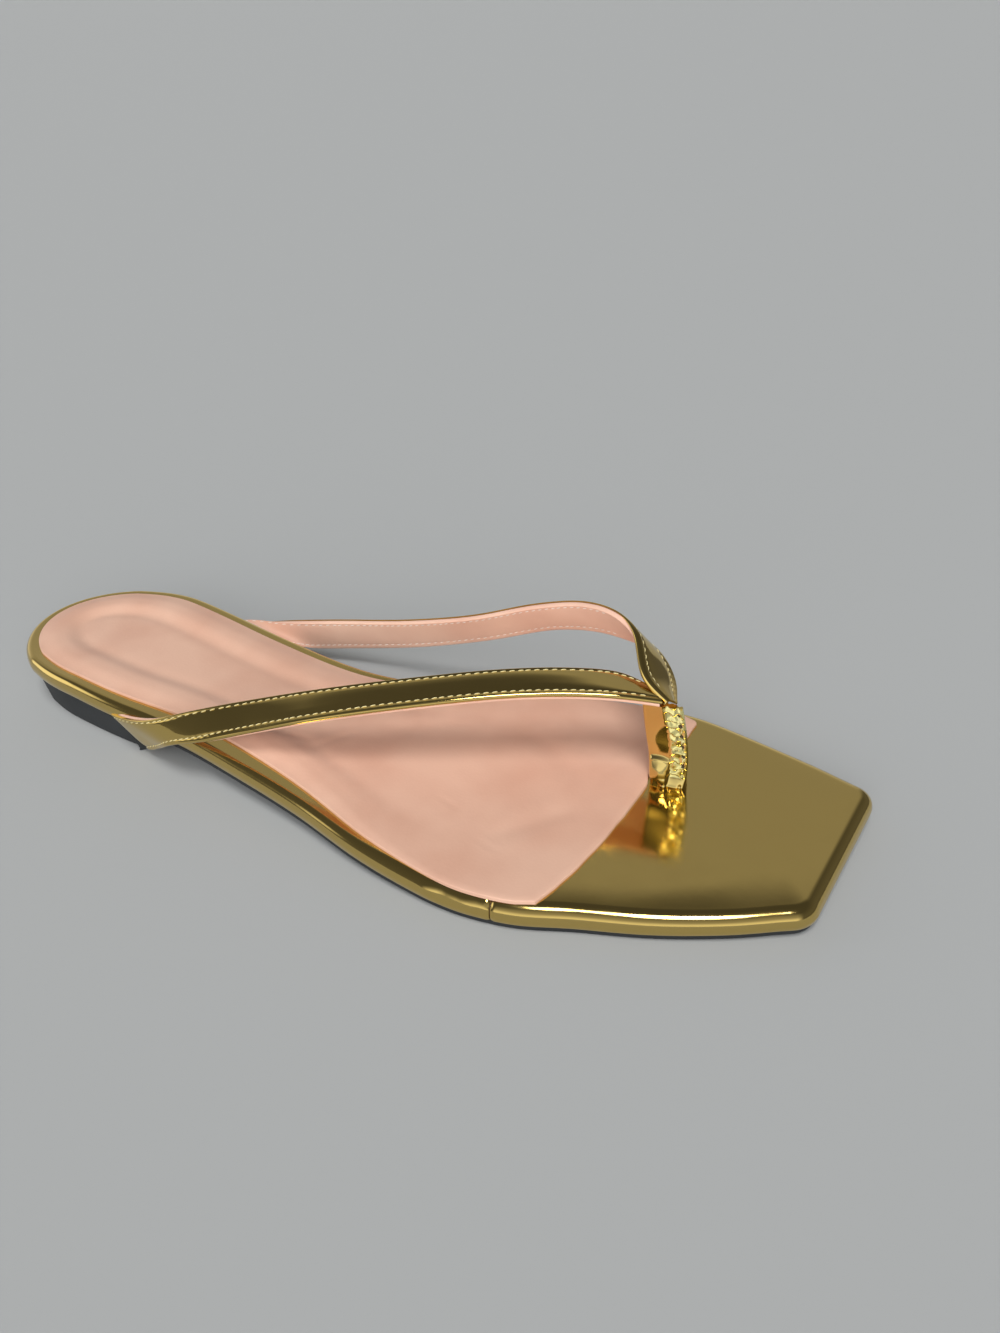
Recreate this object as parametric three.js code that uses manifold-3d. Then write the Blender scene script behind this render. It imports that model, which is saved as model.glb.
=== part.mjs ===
// Toe post sandal, right foot, in millimetres.
// +Y points to the toe, +X to the outer side of the foot and +Z up. The floor is z = 0.
import * as THREE from 'three';
import { mergeVertices } from 'three/addons/utils/BufferGeometryUtils.js';
import Module from 'manifold-3d';

const wasm = await Module();
wasm.setup();

// Driving sizes
const soleLength = 257.7;
const heelSeatHeight = 17;
const ballHeight = 7.5;
const toeHeight = 8.2;
const footbedThickness = 6;
const outsoleThickness = 1.25;
const coverThickness = 0.8;
const strapThickness = 2;
const meetingGap = 0.25;

// Stations along the foot, measured from the back of the heel
const heelArcLength = 36;
const heelSeatEnd = 38;
const ballStart = 181;
const ballEnd = 206;
const heelBreast = 66;
const coverSeam = 188.7;
const soleSpine = { from: 28, to: 236 };

// Half widths of the sole to the outer and the inner side of the foot
const sideRows = [
  { along: 36, outer: 28.5, inner: 28.0 },
  { along: 53, outer: 30.5, inner: 25.6 },
  { along: 81, outer: 31.3, inner: 21.7 },
  { along: 109, outer: 35.0, inner: 20.0 },
  { along: 128, outer: 38.3, inner: 23.5 },
  { along: 150, outer: 43.5, inner: 31.8 },
  { along: 170, outer: 46.2, inner: 39.4 },
  { along: 181, outer: 46.3, inner: 42.9 },
  { along: 194, outer: 44.3, inner: 45.2 },
  { along: 207, outer: 39.4, inner: 45.4 },
  { along: 223, outer: 33.8, inner: 42.2 },
  { along: 240, outer: 26.2, inner: 37.8 },
  { along: 252, outer: 19.9, inner: 33.9 },
];
const toeCornerRadius = 6;
// The toe end falls back towards its outer corner
const toeBend = { drop: 2.6, from: 222, to: 258, across: -14, span: 31, mostShare: 1.1 };
const heelArcSteps = 9;
const sideStep = 9;
const toeCornerSteps = 4;
const edgeSteps = 5;
const closestNeighbour = 1;
const toeLeanSpan = 4;
const sameVertex = 1e-4;

// Rounded edge of the footbed: a broad shoulder above and a small turn below
const shoulderRadius = 3.6;
const lowerRadius = 1.4;
const shoulderSteps = 4;
const lowerSteps = 2;
const coverMargin = 9;
const normalReach = 4;
const leastRadius = 0.2;

// Sock lining: its step in from the sole's edge, its front edge and its dished middle
const sockThickness = 1.2;
const sockInsetRows = [
  { along: 0, outer: 4.3, inner: 4.3 },
  { along: 45, outer: 4.5, inner: 4.2 },
  { along: 100, outer: 6.2, inner: 4.2 },
  { along: 150, outer: 3.6, inner: 3.6 },
  { along: 182, outer: 1.9, inner: 3.2 },
  { along: 210, outer: 1.9, inner: 3.2 },
];
const sockFrontRows = [
  { across: 40.4, along: 198.3 },
  { across: 31.3, along: 200.9 },
  { across: 18.5, along: 203.1 },
  { across: 5.1, along: 204.3 },
  { across: -12.2, along: 205.0 },
  { across: -30.0, along: 206.8 },
  { across: -41.8, along: 207.3 },
];
const sockSpine = { from: 28, to: 184 };
const sockEdgeRound = 0.5;
const sockCornerSpan = 3;
const sockFoam = { from: 180.7, to: 184.7, step: 0.5 };
const sockDish = { depth: 1.1, rim: 8, floor: 14, fadeFrom: 90, fadeTo: 170 };

// Heel block: its side leans in from the footbed to the floor
const heelInset = { top: 1.6, bottom: 3.2 };
const heelSpine = { from: 24, to: 46 };
const heelBevel = 0.6;
const outsoleInset = 1.1;
const outsoleBevel = 0.4;
const outsoleSpine = { from: 84, to: 236 };

// Straps: a row for each fold, with its upper and its lower edge
const outerStrapRows = [
  { up: [19.0, 44.0, 11.8], low: [19.0, 62.0, 10.8] },
  { up: [30.4, 53.0, 11.4], low: [31.0, 74.8, 10.0] },
  { up: [32.2, 61.5, 13.7], low: [35.3, 77.0, 9.9] },
  { up: [33.4, 74.8, 17.7], low: [35.4, 84.3, 13.1] },
  { up: [30.0, 88.9, 22.4], low: [33.6, 96.5, 17.0] },
  { up: [23.6, 101.5, 24.8], low: [30.6, 106.3, 20.2] },
  { up: [16.3, 123.4, 30.3], low: [24.9, 127.1, 27.1] },
  { up: [6.0, 145.2, 33.4], low: [14.5, 150.0, 31.2] },
  { up: [-6.0, 166.7, 34.7], low: [2.6, 171.6, 32.9] },
  { up: [-14.5, 181.2, 33.9], low: [-5.4, 186.0, 32.5] },
  { up: [-19.2, 193.0, 32.9], low: [-9.4, 196.8, 32.5] },
  { up: [-17.5, 201.5, 32.2], low: [-11.2, 207.6, 32.9] },
];
const innerStrapRows = [
  { up: [-14.0, 46.5, 11.8], low: [-12.0, 63.0, 10.8] },
  { up: [-25.3, 53.3, 11.4], low: [-22.6, 73.3, 10.2] },
  { up: [-28.2, 59.8, 12.0], low: [-27.5, 75.8, 6.8] },
  { up: [-30.4, 72.3, 13.8], low: [-32.6, 80.3, 4.8] },
  { up: [-33.5, 91.1, 16.7], low: [-36.0, 92.5, 6.1] },
  { up: [-35.4, 116.1, 21.5], low: [-39.2, 118.3, 11.4] },
  { up: [-36.3, 139.0, 28.0], low: [-41.3, 142.0, 18.7] },
  { up: [-37.5, 159.2, 35.8], low: [-42.4, 162.7, 26.7] },
  { up: [-36.2, 174.8, 40.8], low: [-40.0, 177.7, 30.9] },
  { up: [-32.5, 185.8, 42.2], low: [-37.0, 188.1, 32.4] },
  { up: [-27.9, 193.4, 40.6], low: [-34.7, 195.4, 32.7] },
  { up: [-23.2, 196.4, 37.4], low: [-31.8, 200.4, 30.7] },
  { up: [-18.4, 199.6, 34.5], low: [-24.8, 205.8, 29.5] },
  { up: [-13.3, 208.0, 32.1], low: [-14.9, 209.8, 30.5] },
];
const strapStepsPerFold = 4;
const strapEdgeBevel = 0.5;

// Toe post: a folded strip, a row for each level
const postRows = [
  { level: 1.8, rear: 204.3, front: 213.3, across: -13.8, thick: 3.0 },
  { level: 9.0, rear: 204.1, front: 213.8, across: -13.8, thick: 3.2 },
  { level: 16.0, rear: 203.4, front: 214.1, across: -13.6, thick: 3.0 },
  { level: 24.0, rear: 202.4, front: 213.5, across: -13.4, thick: 3.0 },
  { level: 31.5, rear: 201.6, front: 212.3, across: -13.3, thick: 3.0 },
];
const postEdgeSteps = 4;

// Colours and finishes
const mirrorGold = { color: 0xa8904a, roughness: 0.14, metalness: 1 };
const dustyPink = { color: 0xd6aa94, roughness: 0.6, metalness: 0 };
const charcoalRubber = { color: 0x303234, roughness: 0.75, metalness: 0 };
const boardBrown = { color: 0x8a7356, roughness: 0.9, metalness: 0 };

function clamp01(value) {
  return THREE.MathUtils.clamp(value, 0, 1);
}

// Smooth reading of one column of a table whose rows are sorted by their along column
function readTable(rows, column, along) {
  const last = rows.length - 1;
  const at = THREE.MathUtils.clamp(along, rows[0].along, rows[last].along);
  let index = 0;
  while (index < last - 1 && at > rows[index + 1].along) index += 1;
  const slope = (row) => {
    const before = rows[Math.max(row - 1, 0)];
    const after = rows[Math.min(row + 1, last)];
    return (after[column] - before[column]) / (after.along - before.along);
  };
  const here = rows[index];
  const next = rows[index + 1];
  const span = next.along - here.along;
  const t = (at - here.along) / span;
  const ease = t * t * (3 - 2 * t);
  const bend = t * (1 - t) * span * ((1 - t) * slope(index) - t * slope(index + 1));
  return here[column] * (1 - ease) + next[column] * ease + bend;
}

function halfWidth(side, along) {
  if (along >= heelArcLength) return readTable(sideRows, side, along);
  const lead = (heelArcLength - along) / heelArcLength;
  return sideRows[0][side] * Math.sqrt(Math.max(1 - lead * lead, 0));
}

// Height of the footbed's rim: level heel seat, a falling arch, level ball and a little toe spring
function rimHeight(along) {
  const fall = clamp01((along - heelSeatEnd) / (ballStart - heelSeatEnd));
  const share = 0.5 * fall + 0.5 * fall * fall * (3 - 2 * fall);
  const spring = clamp01((along - ballEnd) / (soleLength - ballEnd));
  return heelSeatHeight + (ballHeight - heelSeatHeight) * share + (toeHeight - ballHeight) * spring * spring;
}

function spinePoint(along, spine) {
  const at = THREE.MathUtils.clamp(along, spine.from, spine.to);
  return { x: (halfWidth('outer', at) - halfWidth('inner', at)) / 2, y: at };
}

// Evenly spaced stations between two ends, with both ends included
function stations(from, to, step) {
  const count = Math.max(Math.ceil((to - from) / step), 1);
  return Array.from({ length: count + 1 }, (unused, i) => from + ((to - from) * i) / count);
}

// The rounded corner between one side and the straight toe end
function toeCorner(side, sign) {
  const start = sideRows[sideRows.length - 1].along;
  const edge = halfWidth(side, start);
  const lean = Math.atan2(edge - halfWidth(side, start - toeLeanSpan), toeLeanSpan);
  const centreY = soleLength - toeCornerRadius;
  const wallX = edge + Math.tan(lean) * (centreY - start);
  const centreX = wallX - toeCornerRadius / Math.cos(lean);
  const turn = Math.PI / 2 + lean;
  return Array.from({ length: toeCornerSteps + 1 }, (unused, i) => {
    const angle = -lean + (turn * i) / toeCornerSteps;
    const x = centreX + toeCornerRadius * Math.cos(angle);
    const y = centreY + toeCornerRadius * Math.sin(angle);
    return { x: sign * x, y, station: y };
  });
}

// Points of a straight edge across the foot, without its ends
function edgeAcross(fromPoint, toPoint) {
  return Array.from({ length: edgeSteps - 1 }, (unused, i) => {
    const share = (i + 1) / edgeSteps;
    const y = THREE.MathUtils.lerp(fromPoint.y, toPoint.y, share);
    return { x: THREE.MathUtils.lerp(fromPoint.x, toPoint.x, share), y, station: y };
  });
}

// A point of the outline, moved back where the toe end falls towards its outer corner
function bentToe(point) {
  const ahead = (point.y - toeBend.from) / (toeBend.to - toeBend.from);
  const lead = THREE.MathUtils.clamp(ahead, 0, 1);
  const across = (point.x - toeBend.across) / toeBend.span;
  const share = THREE.MathUtils.clamp(across, 0, toeBend.mostShare);
  return { ...point, y: point.y - toeBend.drop * lead * lead * share * share };
}

// Outline seen from above, counter-clockwise, between two stations
function outline(rear, front, extra = []) {
  const heelTo = Math.min(front, heelArcLength);
  const round = stations(0, 1, 1 / heelArcSteps).map((share) => {
    return heelArcLength * (1 - Math.cos((share * Math.PI) / 2));
  });
  const heel = round.filter((along) => along > rear && along < heelTo);
  const sideEnd = Math.min(front, sideRows[sideRows.length - 1].along);
  const straight = stations(Math.max(rear, heelArcLength), sideEnd, sideStep);
  const all = [...heel, ...straight, ...extra].sort((a, b) => a - b);
  const sidePoint = (side, sign) => (along) => {
    return { x: sign * halfWidth(side, along), y: along, station: along };
  };
  const outer = all.map(sidePoint('outer', 1));
  const inner = all.map(sidePoint('inner', -1)).reverse();
  let rearEdge = [{ x: 0, y: 0, station: 0 }];
  if (rear > 0) rearEdge = edgeAcross(inner[inner.length - 1], outer[0]);
  let frontEdge = edgeAcross(outer[outer.length - 1], inner[0]);
  if (front >= soleLength) {
    const outerCorner = toeCorner('outer', 1);
    const innerCorner = toeCorner('inner', -1).reverse();
    const tip = edgeAcross(outerCorner[outerCorner.length - 1], innerCorner[0]);
    frontEdge = [...outerCorner, ...tip, ...innerCorner];
  }
  return withNormals([...rearEdge, ...outer, ...frontEdge, ...inner].map(bentToe));
}

// Inward direction at each point, from its neighbours that are not right beside it
function withNormals(points) {
  const count = points.length;
  const neighbour = (from, step) => {
    let index = from;
    let away = 0;
    while (away < closestNeighbour) {
      index = (index + step + count) % count;
      away = Math.hypot(points[index].x - points[from].x, points[index].y - points[from].y);
    }
    return points[index];
  };
  const leftOf = (from, to) => {
    const length = Math.hypot(to.x - from.x, to.y - from.y);
    return { x: -(to.y - from.y) / length, y: (to.x - from.x) / length };
  };
  return points.map((point, i) => {
    const before = leftOf(neighbour(i, -1), point);
    const after = leftOf(point, neighbour(i, 1));
    const mitre = 1 + before.x * after.x + before.y * after.y;
    return { ...point, inX: (before.x + after.x) / mitre, inY: (before.y + after.y) / mitre };
  });
}

// A point moved in from the outline: first square to the edge, then towards the spine
function moveIn(point, distance, spine) {
  const square = Math.min(distance, normalReach);
  const x = point.x + point.inX * square;
  const y = point.y + point.inY * square;
  const target = spinePoint(point.station, spine);
  const away = Math.hypot(target.x - x, target.y - y);
  const share = clamp01((distance - square) / Math.max(away, sameVertex));
  return { x: x + (target.x - x) * share, y: y + (target.y - y) * share };
}

// A ring of vertices: inset is a distance in from the edge, or the word spine
function ringPoints(path, ring, spine) {
  return path.map((point) => {
    const atSpine = ring.inset === 'spine';
    const place = atSpine ? spinePoint(point.station, spine) : moveIn(point, ring.inset, spine);
    return new THREE.Vector3(place.x, place.y, ring.height(place.y));
  });
}

// Collects triangles by position and leaves out those that have no area
function meshFrom(triangles) {
  const positions = [];
  triangles.forEach(([a, b, c]) => {
    const shortest = Math.min(a.distanceTo(b), b.distanceTo(c), c.distanceTo(a));
    if (shortest > sameVertex) positions.push(...a.toArray(), ...b.toArray(), ...c.toArray());
  });
  const geometry = new THREE.BufferGeometry();
  geometry.setAttribute('position', new THREE.Float32BufferAttribute(positions, 3));
  return mergeVertices(geometry, sameVertex);
}

function quad(a, b, c, d) {
  return [[a, b, c], [a, c, d]];
}

// Closed solid whose rings run from the top of the spine over the edge to the spine below
function ringSolid(path, rings, spine) {
  const rows = rings.map((ring) => ringPoints(path, ring, spine));
  const triangles = [];
  for (let k = 0; k < rows.length - 1; k += 1) {
    for (let i = 0; i < path.length; i += 1) {
      const j = (i + 1) % path.length;
      triangles.push(...quad(rows[k][i], rows[k + 1][i], rows[k + 1][j], rows[k][j]));
    }
  }
  return meshFrom(triangles);
}

// Thin cover along an open stretch of the outline, with an outer and an inner row of rings
function coverSolid(path, outerRings, innerRings, spine, closedAtSpine) {
  const outer = outerRings.map((ring) => ringPoints(path, ring, spine));
  const inner = innerRings.map((ring) => ringPoints(path, ring, spine));
  const last = outer.length - 1;
  const end = path.length - 1;
  const triangles = [];
  for (let i = 0; i < end; i += 1) {
    for (let k = 0; k < last; k += 1) {
      triangles.push(...quad(outer[k][i], outer[k + 1][i], outer[k + 1][i + 1], outer[k][i + 1]));
      triangles.push(...quad(inner[k][i + 1], inner[k + 1][i + 1], inner[k + 1][i], inner[k][i]));
    }
    triangles.push(...quad(outer[last][i], inner[last][i], inner[last][i + 1], outer[last][i + 1]));
    if (!closedAtSpine) triangles.push(...quad(inner[0][i], outer[0][i], outer[0][i + 1], inner[0][i + 1]));
  }
  for (let k = 0; k < last; k += 1) {
    triangles.push(...quad(outer[k][0], inner[k][0], inner[k + 1][0], outer[k + 1][0]));
    triangles.push(...quad(outer[k + 1][end], inner[k + 1][end], inner[k][end], outer[k][end]));
  }
  return meshFrom(triangles);
}

// Rings of the footbed's rounded edge, set back by a distance from its outer form
function edgeRings(setBack) {
  const quarter = Math.PI / 2;
  const shoulder = stations(0, 1, 1 / shoulderSteps).map((share) => {
    const reach = shoulderRadius - setBack;
    const inset = shoulderRadius - reach * Math.sin(share * quarter);
    const drop = shoulderRadius - reach * Math.cos(share * quarter);
    return { inset, height: (along) => rimHeight(along) - drop };
  });
  const turn = stations(0, 1, 1 / lowerSteps).map((share) => {
    const reach = Math.max(lowerRadius - setBack, leastRadius);
    const inset = lowerRadius - reach * Math.cos(share * quarter);
    const lift = lowerRadius - reach * Math.sin(share * quarter);
    return { inset, height: (along) => rimHeight(along) - footbedThickness + lift };
  });
  return [...shoulder, ...turn];
}

function levelRing(inset, offset) {
  return { inset, height: (along) => rimHeight(along) + offset };
}

// Board of the footbed, inside its covers
function footbedBoard() {
  const setBack = coverThickness + meetingGap;
  const path = outline(0, soleLength);
  const rings = [
    levelRing('spine', -setBack),
    ...edgeRings(setBack),
    levelRing('spine', -footbedThickness + setBack),
  ];
  return ringSolid(path, rings, soleSpine);
}

const seamGap = meetingGap / 2;
const seamedOutline = outline(0, soleLength, [coverSeam - seamGap, coverSeam + seamGap]);

// Foil cover over the whole forefoot, turned under at the edge
function toeCover() {
  const path = seamedOutline.filter((point) => point.station > coverSeam);
  const outer = [
    levelRing('spine', 0),
    ...edgeRings(0),
    levelRing(coverMargin, -footbedThickness),
  ];
  const inner = [
    levelRing('spine', -coverThickness),
    ...edgeRings(coverThickness),
    levelRing(coverMargin, -footbedThickness + coverThickness),
  ];
  return coverSolid(path, outer, inner, soleSpine, true);
}

// Foil strip round the rest of the edge, from ball to ball by way of the heel
function rand() {
  const behind = seamedOutline.filter((point) => point.station < coverSeam);
  const innerStart = behind.findIndex((point) => point.x < 0 && point.station > soleSpine.from);
  const path = [...behind.slice(innerStart), ...behind.slice(0, innerStart)];
  const outer = [levelRing(coverMargin, 0), ...edgeRings(0), levelRing(coverMargin, -footbedThickness)];
  const inner = [
    levelRing(coverMargin, -coverThickness),
    ...edgeRings(coverThickness),
    levelRing(coverMargin, -footbedThickness + coverThickness),
  ];
  return coverSolid(path, outer, inner, soleSpine, false);
}

// Sock lining over the foam: a raised border and a dished middle that fades out before the ball
function sockLining() {
  const full = outline(0, soleLength);
  const moved = (point, side) => {
    const place = moveIn(point, readTable(sockInsetRows, side, point.station), sockSpine);
    return { ...place, station: point.station };
  };
  const frontOuter = sockFrontRows[0].along - sockCornerSpan;
  const frontInner = sockFrontRows[sockFrontRows.length - 1].along - sockCornerSpan;
  const outer = full.filter((point) => point.x >= 0 && point.station < frontOuter);
  const inner = full.filter((point) => point.x < 0 && point.station < frontInner);
  const front = sockFrontRows.map((row) => ({ x: row.across, y: row.along, station: row.along }));
  const path = withNormals([
    ...outer.map((point) => moved(point, 'outer')),
    ...front,
    ...inner.map((point) => moved(point, 'inner')),
  ]);
  const dish = (along) => {
    const fade = clamp01((sockDish.fadeTo - along) / (sockDish.fadeTo - sockDish.fadeFrom));
    return sockDish.depth * fade * fade * (3 - 2 * fade);
  };
  const top = sockThickness + meetingGap;
  const underside = (along) => {
    const overCover = clamp01((along - sockFoam.from) / (sockFoam.to - sockFoam.from));
    return THREE.MathUtils.lerp(-coverThickness, meetingGap, overCover);
  };
  const dishedRing = (inset) => ({ inset, height: (along) => rimHeight(along) + top - dish(along) });
  const foamRing = (inset) => ({ inset, height: (along) => rimHeight(along) + underside(along) });
  const rings = [
    dishedRing('spine'),
    dishedRing(sockDish.floor),
    levelRing(sockDish.rim, top),
    levelRing(sockEdgeRound, top),
    levelRing(0, top - sockEdgeRound),
    levelRing(0, meetingGap),
    levelRing(coverMargin, meetingGap),
    foamRing(coverMargin + sockFoam.step),
    foamRing('spine'),
  ];
  return ringSolid(path, rings, sockSpine);
}

// Sheet outsole under the shank and the forefoot, from the heel's front to the toe
function outsole() {
  const rear = heelBreast - heelInset.top - outsoleInset + meetingGap;
  const path = outline(rear, soleLength);
  const top = -footbedThickness - meetingGap;
  const bottom = top - outsoleThickness;
  const rings = [
    levelRing('spine', top),
    levelRing(outsoleInset, top),
    levelRing(outsoleInset, bottom + outsoleBevel),
    levelRing(outsoleInset + outsoleBevel, bottom),
    levelRing('spine', bottom),
  ];
  return ringSolid(path, rings, outsoleSpine);
}

// Heel block with leaning sides and a level bottom
function heelBlock() {
  const path = outline(0, heelBreast);
  const top = -footbedThickness - meetingGap;
  const rings = [
    levelRing('spine', top),
    levelRing(heelInset.top, top),
    { inset: heelInset.bottom, height: () => heelBevel },
    { inset: heelInset.bottom + heelBevel, height: () => 0 },
    { inset: 'spine', height: () => 0 },
  ];
  return ringSolid(path, rings, heelSpine);
}

// Flat strap between two edge curves, with bevelled long edges
function strap(rows, grow = 0) {
  const curve = (edge) => new THREE.CatmullRomCurve3(
    rows.map((row) => new THREE.Vector3(...row[edge])), false, 'centripetal');
  const count = (rows.length - 1) * strapStepsPerFold;
  const up = curve('up');
  const low = curve('low');
  const half = strapThickness / 2 + grow;
  const bevel = strapEdgeBevel;
  const sections = Array.from({ length: count + 1 }, (unused, i) => {
    const t = i / count;
    const top = up.getPoint(t);
    const bottom = low.getPoint(t);
    const width = top.clone().sub(bottom).normalize();
    const along = up.getTangent(t).add(low.getTangent(t)).normalize();
    const face = new THREE.Vector3().crossVectors(along, width).normalize();
    const corner = (from, out, side) => from.clone().addScaledVector(width, out).addScaledVector(face, side);
    return [
      corner(top, grow - bevel, half),
      corner(top, grow, 0),
      corner(top, grow - bevel, -half),
      corner(bottom, bevel - grow, -half),
      corner(bottom, -grow, 0),
      corner(bottom, bevel - grow, half),
    ];
  });
  return loft(sections);
}

// Closed skin over sections of equal count, with flat ends
function loft(sections) {
  const size = sections[0].length;
  const triangles = [];
  for (let i = 0; i < sections.length - 1; i += 1) {
    for (let k = 0; k < size; k += 1) {
      const n = (k + 1) % size;
      triangles.push(...quad(sections[i][k], sections[i + 1][k], sections[i + 1][n], sections[i][n]));
    }
  }
  const first = sections[0];
  const last = sections[sections.length - 1];
  for (let k = 1; k < size - 1; k += 1) {
    triangles.push([first[0], first[k], first[k + 1]]);
    triangles.push([last[0], last[k + 1], last[k]]);
  }
  return meshFrom(triangles);
}

// Toe post: flat faces to the sides, rounded at the rear fold and at the front edge
function toePost(grow = 0) {
  const sections = postRows.map((row) => {
    const half = row.thick / 2 + grow;
    const roundEnd = (along, start) => stations(0, 1, 1 / postEdgeSteps).map((share) => {
      const angle = start + share * Math.PI;
      const x = row.across + half * Math.cos(angle);
      return new THREE.Vector3(x, along + half * Math.sin(angle), row.level);
    });
    const inset = row.thick / 2;
    return [...roundEnd(row.front - inset, 0), ...roundEnd(row.rear + inset, Math.PI)];
  });
  sections[0].forEach((point) => point.setZ(point.z - grow));
  return loft(sections.map((section) => section.reverse()));
}

function solidOf(geometry) {
  const vertProperties = new Float32Array(geometry.getAttribute('position').array);
  const triVerts = new Uint32Array(geometry.index.array);
  return new wasm.Manifold(new wasm.Mesh({ numProp: 3, vertProperties, triVerts }));
}

function geometryOf(solid) {
  const mesh = solid.getMesh();
  const geometry = new THREE.BufferGeometry();
  geometry.setAttribute('position', new THREE.Float32BufferAttribute(mesh.vertProperties, 3));
  geometry.setIndex(new THREE.Uint32BufferAttribute(mesh.triVerts, 1));
  return geometry;
}

// Straps joined where they cross at the post, and the room that they and the post need
const upper = solidOf(strap(outerStrapRows)).add(solidOf(strap(innerStrapRows)));
const strapRoom = solidOf(strap(outerStrapRows, meetingGap)).add(solidOf(strap(innerStrapRows, meetingGap)));
const post = solidOf(toePost()).subtract(strapRoom);
const postRoom = solidOf(toePost(meetingGap));
const slots = strapRoom.add(postRoom);

const pieces = [
  { name: 'outsole', solid: solidOf(outsole()).subtract(strapRoom), finish: charcoalRubber },
  { name: 'heel', solid: solidOf(heelBlock()).subtract(strapRoom), finish: charcoalRubber },
  { name: 'footbed', solid: solidOf(footbedBoard()).subtract(slots), finish: boardBrown },
  { name: 'rand', solid: solidOf(rand()).subtract(strapRoom), finish: mirrorGold },
  { name: 'toe_cover', solid: solidOf(toeCover()).subtract(postRoom), finish: mirrorGold },
  { name: 'sock_lining', solid: solidOf(sockLining()).subtract(postRoom), finish: dustyPink },
  { name: 'upper', solid: upper, finish: mirrorGold },
  { name: 'toe_post', solid: post, finish: mirrorGold },
];

const sandal = new THREE.Group();
pieces.forEach(({ name, solid, finish }) => {
  const mesh = new THREE.Mesh(geometryOf(solid), new THREE.MeshStandardMaterial(finish));
  mesh.name = name;
  sandal.add(mesh);
});

// The origin is under the middle of the sandal's box
const box = new THREE.Box3().setFromObject(sandal);
sandal.position.set(-(box.min.x + box.max.x) / 2, -(box.min.y + box.max.y) / 2, -box.min.z);

export default sandal;
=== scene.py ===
import math

import bpy
from mathutils import Matrix, Vector, noise


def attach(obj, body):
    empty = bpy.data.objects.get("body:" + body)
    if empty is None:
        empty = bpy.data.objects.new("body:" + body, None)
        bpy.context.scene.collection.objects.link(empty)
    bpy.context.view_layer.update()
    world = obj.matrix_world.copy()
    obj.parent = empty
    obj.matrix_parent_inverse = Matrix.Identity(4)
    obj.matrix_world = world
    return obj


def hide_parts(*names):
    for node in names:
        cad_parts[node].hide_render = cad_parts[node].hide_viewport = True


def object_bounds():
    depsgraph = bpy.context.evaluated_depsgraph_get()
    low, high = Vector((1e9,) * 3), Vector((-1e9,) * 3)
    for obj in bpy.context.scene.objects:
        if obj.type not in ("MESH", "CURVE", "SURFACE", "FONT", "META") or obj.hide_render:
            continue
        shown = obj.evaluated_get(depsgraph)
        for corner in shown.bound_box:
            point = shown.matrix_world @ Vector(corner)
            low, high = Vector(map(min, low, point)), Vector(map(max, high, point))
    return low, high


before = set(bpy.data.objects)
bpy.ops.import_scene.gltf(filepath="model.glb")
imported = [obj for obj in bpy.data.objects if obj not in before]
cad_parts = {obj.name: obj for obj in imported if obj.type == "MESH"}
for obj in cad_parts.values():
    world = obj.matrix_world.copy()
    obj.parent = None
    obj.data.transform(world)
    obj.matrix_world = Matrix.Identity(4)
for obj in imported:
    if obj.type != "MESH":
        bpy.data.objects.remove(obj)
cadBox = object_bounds()
bpy.ops.object.select_all(action="DESELECT")
print("frame loaded:", len(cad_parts), "nodes")

mm = 0.001
heelBack = cadBox[0].y / mm   # sizes below are measured from the back of the heel
sideShift = 0.43              # and from the line that splits the heel, to the outer side


# sizes in millimetres, from the heel, become a place in the frame
def toFrame(x, y, z):
    return Vector(((x - sideShift) * mm, (y + heelBack) * mm, z * mm))


def clamp01(value):
    return min(max(value, 0.0), 1.0)


# runs smoothly from 0 at start to 1 at end
def ease(start, end, value):
    t = clamp01((value - start) / (end - start))
    return t * t * (3 - 2 * t)


# a soft hump, 1 in the middle and nearly 0 at twice its reach
def bell(distance, reach):
    return math.exp(-(distance / reach) ** 2)


def lerp(a, b, share):
    return a + (b - a) * share


# smooth reading of one column of a table whose first column rises
def readTable(rows, column, along):
    last = len(rows) - 1
    at = min(max(along, rows[0][0]), rows[last][0])
    index = 0
    while index < last - 1 and at > rows[index + 1][0]:
        index += 1

    def slope(row):
        before = rows[max(row - 1, 0)]
        after = rows[min(row + 1, last)]
        return (after[column] - before[column]) / (after[0] - before[0])

    here = rows[index]
    following = rows[index + 1]
    span = following[0] - here[0]
    t = (at - here[0]) / span
    even = t * t * (3 - 2 * t)
    bend = t * (1 - t) * span * ((1 - t) * slope(index) - t * slope(index + 1))
    return here[column] * (1 - even) + following[column] * even + bend


# materials

# sRGB hex to linear colour
def hexColor(text):
    parts = [int(text[i:i + 2], 16) / 255 for i in (1, 3, 5)]
    linear = [p / 12.92 if p <= 0.04045 else ((p + 0.055) / 1.055) ** 2.4 for p in parts]
    return (*linear, 1.0)


# adds a node: settings are its properties or its input values, links its inputs' sources;
# an input that shares its name with another goes by its number
def addNode(tree, kind, settings=None, links=None):
    node = tree.nodes.new(kind)
    for key, value in (settings or {}).items():
        if isinstance(key, str) and hasattr(node, key):
            setattr(node, key, value)
        else:
            node.inputs[key].default_value = value
    for key, source in (links or {}).items():
        tree.links.new(source, node.inputs[key])
    return node


def newMaterial(name):
    material = bpy.data.materials.new(name)
    material.use_nodes = True
    material.node_tree.nodes.clear()
    return material, material.node_tree


def closeMaterial(tree, shader):
    addNode(tree, "ShaderNodeOutputMaterial", links={"Surface": shader.outputs[0]})


# pattern scale for a feature of a real size
def scaleFor(sizeMm):
    return 1 / (sizeMm * mm)


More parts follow.
